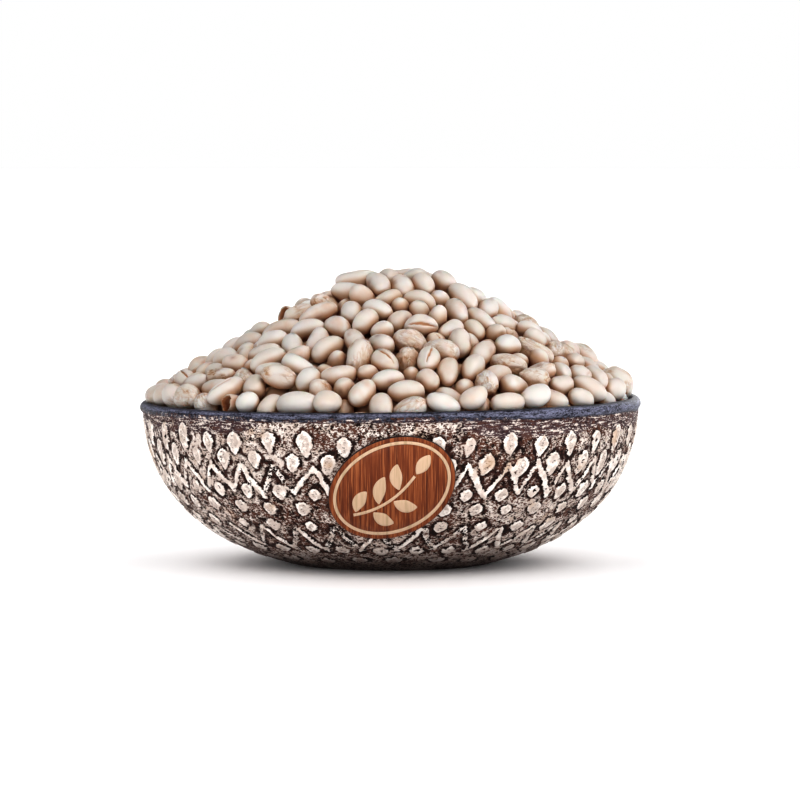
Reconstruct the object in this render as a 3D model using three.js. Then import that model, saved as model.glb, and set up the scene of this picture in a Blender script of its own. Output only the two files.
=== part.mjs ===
// A round stoneware bowl heaped with roasted soybeans, with an oval wooden badge on its front.
// Millimetres, +Z up. The foot stands on z = 0, centred on the Z axis, and the badge faces -Y.
import * as THREE from 'three';

// ---------- driving dimensions ----------
const BOWL_HEIGHT = 55;
const RIM_RADIUS = 84; // widest point, on the rim's bead
const FOOT_RADIUS = 33;
const WALL_THICKNESS = 5;
const BASE_THICKNESS = 6;
const BEAD_RADIUS = 2.1; // half-round bead along the rim
const BEAD_UNDERCUT = 0.9; // how far the bead stands out over the wall below it
const BEAD_DROP = 3.6; // from the rim's top down to where the wall starts
const LOWER_PULL = new THREE.Vector2(65.9, 8.1); // the wall curve leaves the foot towards this point
const UPPER_PULL = new THREE.Vector2(81.1, 25.8); // and reaches the rim from this one

const HEAP_GAP = 0.3; // clearance between the beans' solid and the bowl
const HEAP_EDGE_RISE = 3.4; // mean height of the outermost beans over the rim
const HEAP_SLOPE = 0.62; // rise per millimetre on the heap's straight flank
const CROWN_ROUNDING = 18; // larger values make a blunter top
const CROWN_SHIFT_X = 3.4; // the heap leans slightly to the right
const BEAN_COUNT = 260; // beans on the visible surface of the heap
const BEAN_RISE = 3.4; // how far a bean stands out of the surface around it
const BEAN_REACH = 5.8; // radius of one bean's bulge
const BEAN_UNEVENNESS = 1.5; // spread of the beans' heights

const BADGE_CENTRE = new THREE.Vector2(0.5, 31.2); // in the front view: x and z
const BADGE_HALF_LENGTH = 20.8;
const BADGE_HALF_WIDTH = 15.7;
const BADGE_TILT = THREE.MathUtils.degToRad(24.5);
const BADGE_THICKNESS = 1.6;
const BADGE_EDGE = 0.35; // chamfer round the badge's face
const BADGE_GAP = 0.3; // clearance to the bowl's wall
const RING_INSET = 1.6; // from the badge's edge to the ring
const RING_WIDTH = 1.0;
const INLAY_DEPTH = 0.6; // of the groove that the ring is laid into
const INLAY_CLEARANCE = 0.15; // beside an inlay
const INLAY_FLOOR_GAP = 0.25; // and under it

const STEM_WIDTH = 0.9;
const STEM_PATH = [[-14.4, -2.6], [-3, -5.6], [8.2, 0.8]]; // in badge coordinates
const LEAF_WIDTH = 4;
const LEAF_GAP = 0.9; // from the middle of the stem to a leaf's foot
const LEAVES = [ // place along the stem, side, length
  [0.04, 1, 8],
  [0.27, -1, 7.8],
  [0.39, 1, 9.6],
  [0.58, -1, 8.2],
  [0.74, 1, 8.8],
];
const END_LEAF_LENGTH = 7.2;

const ROUND_SEGMENTS = 72;
const WALL_STEPS = 12;
const INNER_STEPS = 9;
const BEAD_STEPS = 7;
const HEAP_SEGMENTS = 64;
const HEAP_RINGS = 20;
const HEAP_WALL_STEPS = 7;
const OVAL_SEGMENTS = 48;
const RIBBON_STEPS = 8;

const WALL_TOP = new THREE.Vector2(RIM_RADIUS - BEAD_UNDERCUT, BOWL_HEIGHT - BEAD_DROP);
const INNER_TOP = new THREE.Vector2(RIM_RADIUS - 2 * BEAD_RADIUS, BOWL_HEIGHT - BEAD_RADIUS);

// ---------- helpers ----------
function makeMesh(name, geometry, colour, roughness) {
  const material = new THREE.MeshStandardMaterial({ color: colour, roughness, metalness: 0 });
  const mesh = new THREE.Mesh(geometry, material);
  mesh.name = name;
  return mesh;
}

function lathe(points, segments) {
  // The profile runs from the axis round the section and back to the axis, bottom first.
  const geometry = new THREE.LatheGeometry(points, segments);
  geometry.rotateX(Math.PI / 2); // lathes turn about Y; stand it on Z
  return geometry;
}

function geometryFrom(vertices, faces) {
  const geometry = new THREE.BufferGeometry();
  const coordinates = vertices.flatMap((vertex) => vertex.toArray());
  geometry.setAttribute('position', new THREE.Float32BufferAttribute(coordinates, 3));
  geometry.setIndex(faces.flat());
  geometry.computeVertexNormals();
  return geometry;
}

function pushQuad(faces, a, b, c, d) {
  faces.push([a, b, c], [a, c, d]);
}

function joinLoops(faces, low, high, count, highLeads) {
  // Wall of triangles between two loops of points; highLeads is true where the upper loop is
  // turned half a step ahead of the lower one, so that the diagonals stay short.
  for (let s = 0; s < count; s += 1) {
    const next = (s + 1) % count;
    if (highLeads) {
      pushQuad(faces, high + s, low + s, low + next, high + next);
    } else {
      pushQuad(faces, low + s, low + next, high + next, high + s);
    }
  }
}

function hashNoise(index) {
  // Repeatable value from 0 to 1 for a whole number.
  const wave = Math.sin(index * 12.9898 + 4.137) * 43758.5453;
  return wave - Math.floor(wave);
}

// ---------- bowl ----------
const outerCurve = new THREE.CubicBezierCurve(
  new THREE.Vector2(FOOT_RADIUS, 0),
  LOWER_PULL,
  UPPER_PULL,
  WALL_TOP,
);

const innerCurve = new THREE.CubicBezierCurve(
  new THREE.Vector2(FOOT_RADIUS - WALL_THICKNESS, BASE_THICKNESS),
  new THREE.Vector2(LOWER_PULL.x - WALL_THICKNESS, LOWER_PULL.y + BASE_THICKNESS),
  new THREE.Vector2(UPPER_PULL.x - WALL_THICKNESS, UPPER_PULL.y + WALL_THICKNESS / 2),
  INNER_TOP,
);

function beadPoints() {
  // From the wall's top, round the outside and over the top, down to the inner wall.
  const centre = new THREE.Vector2(RIM_RADIUS - BEAD_RADIUS, BOWL_HEIGHT - BEAD_RADIUS);
  const startAngle = Math.asin((WALL_TOP.y - centre.y) / BEAD_RADIUS);
  const points = [];
  for (let i = 0; i <= BEAD_STEPS; i += 1) {
    const angle = startAngle + ((Math.PI - startAngle) * i) / BEAD_STEPS;
    const x = centre.x + BEAD_RADIUS * Math.cos(angle);
    points.push(new THREE.Vector2(x, centre.y + BEAD_RADIUS * Math.sin(angle)));
  }
  return points;
}

function bowl() {
  const outer = outerCurve.getSpacedPoints(WALL_STEPS);
  const inner = innerCurve.getSpacedPoints(INNER_STEPS).reverse();
  const profile = [new THREE.Vector2(0, 0), ...outer, ...beadPoints(), ...inner.slice(1)];
  profile.push(new THREE.Vector2(0, BASE_THICKNESS));
  return makeMesh('bowl', lathe(profile, ROUND_SEGMENTS), 0x8f7c74, 0.72);
}

// ---------- soybeans ----------
function beanCentres() {
  // A golden-angle spiral spreads the beans evenly, and the noise keeps them out of rows.
  const goldenAngle = Math.PI * (3 - Math.sqrt(5));
  const centres = [];
  for (let i = 0; i < BEAN_COUNT; i += 1) {
    const radius = INNER_TOP.x * Math.sqrt((i + hashNoise(i)) / BEAN_COUNT);
    const angle = i * goldenAngle + hashNoise(i + 0.5);
    const rise = BEAN_UNEVENNESS * (hashNoise(i + 0.25) - 0.5);
    centres.push({ x: radius * Math.cos(angle), y: radius * Math.sin(angle), rise });
  }
  return centres;
}

function beanBulge(x, y, centres) {
  // Height of the highest bean over the point, above the mean surface between the beans.
  let highest = 0;
  for (const bean of centres) {
    const distance = Math.hypot(x - bean.x, y - bean.y) / BEAN_REACH;
    if (distance < 1) {
      highest = Math.max(highest, (BEAN_RISE + bean.rise) * Math.sqrt(1 - distance * distance));
    }
  }
  return highest;
}

function heapHeight(x, y, centres) {
  // A cone with a rounded crown: straight flanks far from the middle, a blunt top over it.
  const reach = Math.hypot(x - CROWN_SHIFT_X, y);
  const rounded = (radius) => Math.hypot(radius, CROWN_ROUNDING);
  const flank = HEAP_SLOPE * (rounded(INNER_TOP.x) - rounded(reach));
  return BOWL_HEIGHT + HEAP_EDGE_RISE + flank + beanBulge(x, y, centres) - BEAN_RISE / 2;
}

function soybeans() {
  const centres = beanCentres();
  const floorCurve = innerCurve.getSpacedPoints(HEAP_WALL_STEPS);
  const edgeRadius = INNER_TOP.x - HEAP_GAP;
  const vertices = [new THREE.Vector3(0, 0, BASE_THICKNESS + HEAP_GAP)];
  for (const point of floorCurve) { // the hidden side follows the inside of the bowl
    for (let s = 0; s < HEAP_SEGMENTS; s += 1) {
      const angle = (2 * Math.PI * s) / HEAP_SEGMENTS;
      const radius = Math.min(point.x - HEAP_GAP, edgeRadius);
      const height = point.y + HEAP_GAP;
      vertices.push(new THREE.Vector3(radius * Math.cos(angle), radius * Math.sin(angle), height));
    }
  }
  for (let r = 0; r < HEAP_RINGS; r += 1) { // the visible side, from the rim to the crown
    const radius = edgeRadius * (1 - r / HEAP_RINGS);
    for (let s = 0; s < HEAP_SEGMENTS; s += 1) {
      const angle = (2 * Math.PI * (s + (r % 2) / 2)) / HEAP_SEGMENTS;
      const x = radius * Math.cos(angle);
      const y = radius * Math.sin(angle);
      vertices.push(new THREE.Vector3(x, y, heapHeight(x, y, centres)));
    }
  }
  vertices.push(new THREE.Vector3(0, 0, heapHeight(0, 0, centres)));
  const faces = [];
  const rimRing = floorCurve.length;
  const ringTotal = rimRing + HEAP_RINGS;
  const top = vertices.length - 1;
  for (let r = 0; r < ringTotal - 1; r += 1) {
    const low = 1 + r * HEAP_SEGMENTS;
    joinLoops(faces, low, low + HEAP_SEGMENTS, HEAP_SEGMENTS, r >= rimRing && (r - rimRing) % 2 === 0);
  }
  const last = 1 + (ringTotal - 1) * HEAP_SEGMENTS;
  for (let s = 0; s < HEAP_SEGMENTS; s += 1) {
    const next = (s + 1) % HEAP_SEGMENTS;
    faces.push([0, 1 + next, 1 + s]);
    faces.push([last + s, last + next, top]);
  }
  return makeMesh('soybeans', geometryFrom(vertices, faces), 0xe2cfbb, 0.55);
}

// ---------- badge ----------
const wallSamples = outerCurve.getSpacedPoints(200);

function wallRadius(height) {
  // Outer radius of the bowl's wall at a height over the foot.
  const above = wallSamples.findIndex((point) => point.y >= height);
  const high = wallSamples[above];
  const low = wallSamples[above - 1];
  const share = (height - low.y) / (high.y - low.y);
  return low.x + (high.x - low.x) * share;
}

function wallNormal(point) {
  // Outward normal of the wall where it has the point's x and z.
  const step = 0.5;
  const slope = (wallRadius(point.z + step) - wallRadius(point.z - step)) / (2 * step);
  const radius = Math.hypot(point.x, point.y);
  return new THREE.Vector3(point.x / radius, point.y / radius, -slope).normalize();
}

function onWall(along, across, lift) {
  // Badge coordinates: along its length, across its width, and lift out of the bowl's wall.
  const x = BADGE_CENTRE.x + along * Math.cos(BADGE_TILT) - across * Math.sin(BADGE_TILT);
  const z = BADGE_CENTRE.y + along * Math.sin(BADGE_TILT) + across * Math.cos(BADGE_TILT);
  const point = new THREE.Vector3(x, -Math.sqrt(wallRadius(z) ** 2 - x * x), z);
  return point.addScaledVector(wallNormal(point), lift);
}

function ovalLoop(inset, lift) {
  const points = [];
  for (let s = 0; s < OVAL_SEGMENTS; s += 1) {
    const angle = (2 * Math.PI * s) / OVAL_SEGMENTS;
    const along = (BADGE_HALF_LENGTH - inset) * Math.cos(angle);
    const across = (BADGE_HALF_WIDTH - inset) * Math.sin(angle);
    points.push(onWall(along, across, lift));
  }
  return points;
}

function sweepOval(section, closed) {
  // The section lists inset and lift from the middle of the back round the edge to the front.
  const vertices = section.flatMap(([inset, lift]) => ovalLoop(inset, lift));
  const faces = [];
  const loops = closed ? section.length : section.length - 1;
  for (let k = 0; k < loops; k += 1) {
    const nextLoop = (k + 1) % section.length;
    joinLoops(faces, k * OVAL_SEGMENTS, nextLoop * OVAL_SEGMENTS, OVAL_SEGMENTS, false);
  }
  if (!closed) {
    const lastLoop = (section.length - 1) * OVAL_SEGMENTS;
    vertices.push(onWall(0, 0, section[0][1]), onWall(0, 0, section[section.length - 1][1]));
    for (let s = 0; s < OVAL_SEGMENTS; s += 1) {
      const next = (s + 1) % OVAL_SEGMENTS;
      faces.push([vertices.length - 2, next, s]);
      faces.push([vertices.length - 1, lastLoop + s, lastLoop + next]);
    }
  }
  return geometryFrom(vertices, faces);
}

function badge() {
  const back = BADGE_GAP;
  const face = BADGE_GAP + BADGE_THICKNESS;
  const grooveOuter = RING_INSET - INLAY_CLEARANCE;
  const grooveInner = RING_INSET + RING_WIDTH + INLAY_CLEARANCE;
  const section = [
    [BADGE_HALF_WIDTH * 0.66, back],
    [BADGE_HALF_WIDTH * 0.33, back],
    [0, back],
    [0, face - BADGE_EDGE],
    [BADGE_EDGE, face],
    [grooveOuter, face],
    [grooveOuter, face - INLAY_DEPTH],
    [grooveInner, face - INLAY_DEPTH],
    [grooveInner, face],
    [BADGE_HALF_WIDTH * 0.33, face],
    [BADGE_HALF_WIDTH * 0.66, face],
  ];
  return makeMesh('badge', sweepOval(section, false), 0x96492f, 0.5);
}

function badgeRing() {
  const face = BADGE_GAP + BADGE_THICKNESS;
  const floor = face - INLAY_DEPTH + INLAY_FLOOR_GAP;
  const inner = RING_INSET + RING_WIDTH;
  const section = [[inner, floor], [RING_INSET, floor], [RING_INSET, face], [inner, face]];
  return makeMesh('badge_ring', sweepOval(section, true), 0xe1c8a0, 0.5);
}

// ---------- sprig laid on the badge ----------
function ribbon(name, path, halfWidth, colour) {
  // A thin flat strip on the badge's face along a path, as wide as the function says.
  const low = BADGE_GAP + BADGE_THICKNESS + INLAY_FLOOR_GAP;
  const high = low + INLAY_FLOOR_GAP;
  const vertices = [];
  for (let i = 0; i <= RIBBON_STEPS; i += 1) {
    const share = i / RIBBON_STEPS;
    const centre = path.getPoint(share);
    const tangent = path.getTangent(share);
    const half = halfWidth(share);
    for (const [side, lift] of [[-1, low], [1, low], [1, high], [-1, high]]) {
      const along = centre.x - tangent.y * half * side;
      vertices.push(onWall(along, centre.y + tangent.x * half * side, lift));
    }
  }
  const faces = [];
  for (let i = 0; i < RIBBON_STEPS; i += 1) {
    for (let k = 0; k < 4; k += 1) {
      const next = (k + 1) % 4;
      pushQuad(faces, 4 * i + k, 4 * i + next, 4 * i + 4 + next, 4 * i + 4 + k);
    }
  }
  pushQuad(faces, 3, 2, 1, 0);
  const end = 4 * RIBBON_STEPS;
  pushQuad(faces, end, end + 1, end + 2, end + 3);
  return makeMesh(name, geometryFrom(vertices, faces), colour, 0.5);
}

function leafPath(stem, share, side, length) {
  // The leaf leaves the stem sideways and bends forward, towards the sprig's end.
  const forward = stem.getTangent(share);
  const outward = new THREE.Vector2(-forward.y, forward.x).multiplyScalar(side);
  const foot = stem.getPoint(share).addScaledVector(outward, LEAF_GAP);
  const bend = foot.clone().addScaledVector(forward, 0.16 * length).addScaledVector(outward, 0.46 * length);
  const tip = foot.clone().addScaledVector(forward, 0.58 * length).addScaledVector(outward, 0.7 * length);
  return new THREE.QuadraticBezierCurve(foot, bend, tip);
}

function sprig() {
  const sharpEnd = 0.15; // half the width at the ends of a leaf
  const swell = LEAF_WIDTH / 2 - sharpEnd;
  const leafShape = (share) => sharpEnd + swell * Math.sin(Math.PI * share) ** 0.8;
  const stemShape = () => STEM_WIDTH / 2;
  const pale = 0xdcc6a6;
  const stem = new THREE.QuadraticBezierCurve(...STEM_PATH.map(([x, y]) => new THREE.Vector2(x, y)));
  const meshes = [ribbon('sprig_stem', stem, stemShape, pale)];
  LEAVES.forEach(([share, side, length], k) => {
    meshes.push(ribbon(`sprig_leaf_${k + 1}`, leafPath(stem, share, side, length), leafShape, pale));
  });
  const forward = stem.getTangent(1);
  const foot = stem.getPoint(1).addScaledVector(forward, LEAF_GAP);
  const tip = foot.clone().addScaledVector(forward, END_LEAF_LENGTH);
  meshes.push(ribbon('sprig_leaf_end', new THREE.LineCurve(foot, tip), leafShape, pale));
  return meshes;
}

const group = new THREE.Group();
group.add(bowl(), soybeans(), badge(), badgeRing(), ...sprig());
export default group;
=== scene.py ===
import math

import bpy
import numpy as np
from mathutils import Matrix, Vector


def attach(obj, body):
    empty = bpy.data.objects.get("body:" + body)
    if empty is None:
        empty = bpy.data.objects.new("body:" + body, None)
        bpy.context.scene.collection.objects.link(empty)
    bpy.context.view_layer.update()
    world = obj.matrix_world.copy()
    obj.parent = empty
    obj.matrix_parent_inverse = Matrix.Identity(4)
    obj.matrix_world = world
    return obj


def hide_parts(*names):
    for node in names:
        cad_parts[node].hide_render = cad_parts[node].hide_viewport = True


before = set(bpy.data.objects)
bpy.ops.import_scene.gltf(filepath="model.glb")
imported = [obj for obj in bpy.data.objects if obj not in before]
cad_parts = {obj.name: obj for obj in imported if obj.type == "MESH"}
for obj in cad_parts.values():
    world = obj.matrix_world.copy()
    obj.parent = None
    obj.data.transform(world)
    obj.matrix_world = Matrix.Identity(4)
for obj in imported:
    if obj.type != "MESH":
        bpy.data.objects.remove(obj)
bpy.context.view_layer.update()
mm = 0.001  # the shapes below are worked out in millimetres, and their meshes are in metres


def srgb(code):
    # "#rrggbb" as the linear colour that a shader wants
    channels = [int(code[i:i + 2], 16) / 255 for i in (1, 3, 5)]
    linear = [c / 12.92 if c <= 0.04045 else ((c + 0.055) / 1.055) ** 2.4 for c in channels]
    return (*linear, 1.0)


def smoothStep(low, high, value):
    share = np.clip((value - low) / (high - low), 0.0, 1.0)
    return share * share * (3.0 - 2.0 * share)


def waveNoise(rng, points, size, waves):
    # smooth random field from -1 to 1, with lumps about as large as size
    directions = rng.normal(size=(waves, 3))
    directions /= np.linalg.norm(directions, axis=1, keepdims=True)
    pitch = 2 * np.pi / size * rng.uniform(0.55, 1.35, waves)
    phase = rng.uniform(0, 2 * np.pi, waves)
    total = np.zeros(points.shape[:-1])
    for direction, k, start in zip(directions, pitch, phase):
        total += np.sin(points @ direction * k + start)
    return total / math.sqrt(waves) / 1.6


def buildMesh(name, points, faceSets, attributes=None, smooth=True):
    # points in millimetres; faceSets is a list of integer arrays, one row for each face
    mesh = bpy.data.meshes.new(name)
    corners = np.concatenate([f.ravel() for f in faceSets]).astype(np.int32)
    sizes = np.concatenate([np.full(len(f), f.shape[1]) for f in faceSets]).astype(np.int32)
    starts = np.concatenate([[0], np.cumsum(sizes)[:-1]]).astype(np.int32)
    mesh.vertices.add(len(points))
    mesh.vertices.foreach_set("co", (np.asarray(points) * mm).astype(np.float32).ravel())
    mesh.loops.add(len(corners))
    mesh.loops.foreach_set("vertex_index", corners)
    mesh.polygons.add(len(sizes))
    mesh.polygons.foreach_set("loop_start", starts)
    mesh.polygons.foreach_set("use_smooth", np.full(len(sizes), smooth))
    mesh.update(calc_edges=True)
    mesh.validate()
    for key, values in (attributes or {}).items():
        layer = mesh.attributes.new(key, "FLOAT", "POINT")
        layer.data.foreach_set("value", np.asarray(values, dtype=np.float32).ravel())
    piece = bpy.data.objects.new(name, mesh)
    bpy.context.scene.collection.objects.link(piece)
    return piece


def ringFaces(lower, upper):
    # quads between two closed rings of vertex numbers
    return np.stack([lower, np.roll(lower, -1), np.roll(upper, -1), upper], axis=1)


class Shader:
    # a node tree built in reading order, one call for each node

    def __init__(self, name):
        self.material = bpy.data.materials.new(name)
        self.material.use_nodes = True
        self.tree = self.material.node_tree
        self.surface = self.tree.nodes["Principled BSDF"]

    def add(self, kind, settings=None, **inputs):
        node = self.tree.nodes.new(kind)
        for key, value in (settings or {}).items():
            setattr(node, key, value)
        for key, value in inputs.items():
            self.feed(node.inputs[key.replace("_", " ")], value)
        return node

    def feed(self, socket, value):
        if isinstance(value, bpy.types.NodeSocket):
            self.tree.links.new(value, socket)
        else:
            socket.default_value = value

    def attribute(self, name):
        return self.add("ShaderNodeAttribute", {"attribute_name": name}).outputs["Fac"]

    def place(self, stretch=(1, 1, 1)):
        # object coordinates in millimetres, stretched
        coordinates = self.add("ShaderNodeTexCoord").outputs["Object"]
        mapping = self.add("ShaderNodeMapping", None, Vector=coordinates)
        mapping.inputs["Scale"].default_value = [s / mm for s in stretch]
        return mapping.outputs["Vector"]

    def noise(self, where, size, detail=3.0, rough=0.55, distortion=0.0):
        # size is the width of a blotch in millimetres
        node = self.add("ShaderNodeTexNoise", None, Vector=where, Scale=1 / size, Detail=detail,
                        Roughness=rough, Distortion=distortion)
        return node.outputs["Fac"]

    def calc(self, operation, a, b=0.0, c=0.0):
        node = self.add("ShaderNodeMath", {"operation": operation})
        for socket, value in zip(node.inputs, (a, b, c)):
            self.feed(socket, value)
        return node.outputs["Value"]

    def plus(self, a, b):
        return self.calc("ADD", a, b)

    def minus(self, a, b):
        return self.calc("SUBTRACT", a, b)

    def times(self, a, b):
        return self.calc("MULTIPLY", a, b)

    def timesPlus(self, a, b, c):
        return self.calc("MULTIPLY_ADD", a, b, c)

    def ramp(self, value, low, high, outLow=0.0, outHigh=1.0):
        node = self.add("ShaderNodeMapRange", {"interpolation_type": "SMOOTHSTEP"}, Value=value)
        for key, number in (("From Min", low), ("From Max", high), ("To Min", outLow), ("To Max", outHigh)):
            self.feed(node.inputs[key], number)
        return node.outputs["Result"]

    def mix(self, share, first, second, blend="MIX"):
        node = self.add("ShaderNodeMix", {"data_type": "RGBA", "blend_type": blend})
        for index, value in ((0, share), (6, first), (7, second)):
            self.feed(node.inputs[index], value)
        return node.outputs[2]

    def bump(self, height, depth, strength):
        # depth in millimetres for a height of 1
        node = self.add("ShaderNodeBump", None, Height=height, Distance=depth * mm, Strength=strength)
        return node.outputs["Normal"]

    def finish(self, **inputs):
        for key, value in inputs.items():
            self.feed(self.surface.inputs[key.replace("_", " ")], value)
        return self.material


cameraSettings = {
    "distance": 1.6,  # metres from the bowl's axis: a long lens, so the rim is a flat ellipse
    "elevation": 3.3,  # degrees over the horizon
    "aim": (0.0031, 0.0, 0.0543),  # what stands in the middle of the picture
    "pixelSize": 0.000335,  # metres for each pixel at that distance
    "pixelsAcross": 800,
    "sensorWidth": 36.0,
    "nearest": 0.05,
    "farthest": 60.0,
}


def addCamera():
    data = bpy.data.cameras.new("camera")
    data.sensor_width = cameraSettings["sensorWidth"]
    data.lens = data.sensor_width * cameraSettings["distance"] / (
        cameraSettings["pixelSize"] * cameraSettings["pixelsAcross"])
    data.clip_start = cameraSettings["nearest"]
    data.clip_end = cameraSettings["farthest"]
    camera = bpy.data.objects.new("camera", data)
    bpy.context.scene.collection.objects.link(camera)
    aim = Vector(cameraSettings["aim"])
    lift = math.radians(cameraSettings["elevation"])
    camera.location = aim + cameraSettings["distance"] * Vector((0, -math.cos(lift), math.sin(lift)))
    camera.rotation_euler = (aim - camera.location).to_track_quat("-Z", "Y").to_euler()
    bpy.context.scene.camera = camera


floorSettings = {
    "colour": "#fbfbfc",
    "roughness": 0.9,
    "radius": 14000.0,
    "corners": 96,
}


def addFloor():
    count, radius = floorSettings["corners"], floorSettings["radius"]
    angles = np.linspace(0, 2 * np.pi, count, endpoint=False)
    rim = np.stack([radius * np.cos(angles), radius * np.sin(angles), np.zeros(count)], axis=1)
    floor = buildMesh("floor", rim, [np.arange(count)[None, :]], smooth=False)
    shader = Shader("paleFloor")
    floor.data.materials.append(shader.finish(Base_Color=srgb(floorSettings["colour"]),
                                              Roughness=floorSettings["roughness"]))
    return floor


studioSettings = {
    "horizonWhite": 1.0,
    "skyDim": 0.2,  # the studio's ceiling, against its white walls
    "ceilingFrom": 0.08,  # the walls fade into the ceiling between these heights, as sines
    "ceilingFull": 0.4,
    "lightsAimAt": (0, 0, 0.05),
    "gamma": 0.72,  # the picture's contrast
}
# Each light: its strength, where it comes from, how many degrees across it is, and what it shines on.
studioLights = [
    {"name": "softKey", "strength": 1.84, "from": (0.4, -0.5, 1.0), "across": 30, "on": "all but the floor"},
    {"name": "heapWash", "strength": 0.3, "from": (0.6, -1.0, 0.3), "across": 60, "on": "heap"},
    {"name": "wallWash", "strength": 1.92, "from": (-0.5, -1.0, 0.42), "across": 50, "on": "bowl"},
    {"name": "sideWash", "strength": 1.1, "from": (1.0, -0.25, 0.3), "across": 50, "on": "bowl"},
    {"name": "backWash", "strength": 1.2, "from": (0.4, 1.0, 0.42), "across": 50, "on": "bowl"},
]
# Low soft lights stand round the bowl and shine on the floor alone.
floorLights = {"count": 4, "first": 45, "height": 0.58, "strength": 1.95, "across": 75}


def addLight(name, strength, location, across):
    # a soft light from far away
    data = bpy.data.lights.new(name, "SUN")
    data.energy = strength
    data.angle = math.radians(across)
    lamp = bpy.data.objects.new(name, data)
    bpy.context.scene.collection.objects.link(lamp)
    lamp.location = location
    towards = Vector(studioSettings["lightsAimAt"]) - Vector(location)
    lamp.rotation_euler = towards.to_track_quat("-Z", "Y").to_euler()
    return lamp


def linkLight(lamp, pieces, state):
    # the lamp lights nothing but these pieces, or everything but these
    group = bpy.data.collections.new(lamp.name + "Group")
    for piece in pieces:
        group.objects.link(piece)
    lamp.light_linking.receiver_collection = group
    for entry in group.collection_objects:
        entry.light_linking.link_state = state


def addStudio(floor, bowlPieces, heapPieces):
    # white walls round the horizon and a dimmer ceiling, with soft lights
    world = bpy.data.worlds.new("studio")
    world.use_nodes = True
    nodes, links = world.node_tree.nodes, world.node_tree.links
    direction = nodes.new("ShaderNodeTexCoord")
    split = nodes.new("ShaderNodeSeparateXYZ")
    fade = nodes.new("ShaderNodeMapRange")
    fade.interpolation_type = "SMOOTHSTEP"
    for key, setting in (("From Min", "ceilingFrom"), ("From Max", "ceilingFull"),
                         ("To Min", "horizonWhite"), ("To Max", "skyDim")):
        fade.inputs[key].default_value = studioSettings[setting]
    links.new(direction.outputs["Generated"], split.inputs[0])
    links.new(split.outputs["Z"], fade.inputs["Value"])
    links.new(fade.outputs["Result"], nodes["Background"].inputs["Strength"])
    nodes["Background"].inputs["Color"].default_value = (1, 1, 1, 1)
    bpy.context.scene.world = world
    receivers = {
        "all but the floor": ([floor], "EXCLUDE"),
        "heap": (heapPieces, "INCLUDE"),
        "bowl": (bowlPieces, "INCLUDE"),
    }
    for light in studioLights:
        lamp = addLight(light["name"], light["strength"], light["from"], light["across"])
        linkLight(lamp, *receivers[light["on"]])
    for k in range(floorLights["count"]):
        turn = math.radians(floorLights["first"] + 360 / floorLights["count"] * k)
        location = (math.cos(turn), math.sin(turn), floorLights["height"])
        lamp = addLight("floorWash" + str(k + 1), floorLights["strength"], location, floorLights["across"])
        linkLight(lamp, [floor], "INCLUDE")
    bpy.context.scene.view_settings.view_transform = "Standard"
    bpy.context.scene.view_settings.gamma = studioSettings["gamma"]


addCamera()
floor = addFloor()
print("camera and floor are in")


bowlShape = {
    "height": 55.0,
    "rimRadius": 83.9,
    "footRadius": 33.0,
    "wall": 5.0,
    "base": 6.0,
    "beadRadius": 2.1,
    "beadUndercut": 0.9,
    "beadDrop": 3.6,  # from the rim's top down to where the wall starts
    "lowerPull": (65.9, 8.1),  # the wall curve leaves the foot towards this point
    "upperPull": (81.1, 25.8),  # and reaches the rim from this one
    "segments": 780,
    "rowPitch": 0.66,
    "halvedBelow": 9.5,  # the rows under this height have half as many segments
    "rimTilt": 0.9,  # the right side of the rim stands this much higher than the middle
    "beadRings": 12,
    "beadFullRings": 6,  # of these, the lower ones with all their segments
    "beadSunk": 0.1,  # keeps the bead's waves inside its radius
    "innerPitch": 6.0,
}
innerRadius = bowlShape["rimRadius"] - 2 * bowlShape["beadRadius"]
beadCentre = (bowlShape["rimRadius"] - bowlShape["beadRadius"],
              bowlShape["height"] - bowlShape["beadRadius"])


def bezier(points, count):
    share = np.linspace(0, 1, count)[:, None]
    a, b, c, d = (np.array(p, dtype=float) for p in points)
    rest = 1 - share
    return rest ** 3 * a + 3 * share * rest ** 2 * b + 3 * share ** 2 * rest * c + share ** 3 * d


def evenPoints(curve, pitch):
    length = np.concatenate([[0], np.cumsum(np.hypot(*np.diff(curve, axis=0).T))])
    stops = np.linspace(0, length[-1], int(round(length[-1] / pitch)) + 1)
    return np.stack([np.interp(stops, length, curve[:, k]) for k in (0, 1)], axis=1), stops


wallTop = (bowlShape["rimRadius"] - bowlShape["beadUndercut"], bowlShape["height"] - bowlShape["beadDrop"])
wallCurve = bezier([(bowlShape["footRadius"], 0), bowlShape["lowerPull"],
                    bowlShape["upperPull"], wallTop], 2001)


def wallRadius(height):
    return np.interp(height, wallCurve[:, 1], wallCurve[:, 0])


def wallLength(height):
    # distance along the wall from the edge of the foot up to a height
    steps = np.concatenate([[0], np.cumsum(np.hypot(*np.diff(wallCurve, axis=0).T))])
    return np.interp(height, wallCurve[:, 1], steps)


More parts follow.
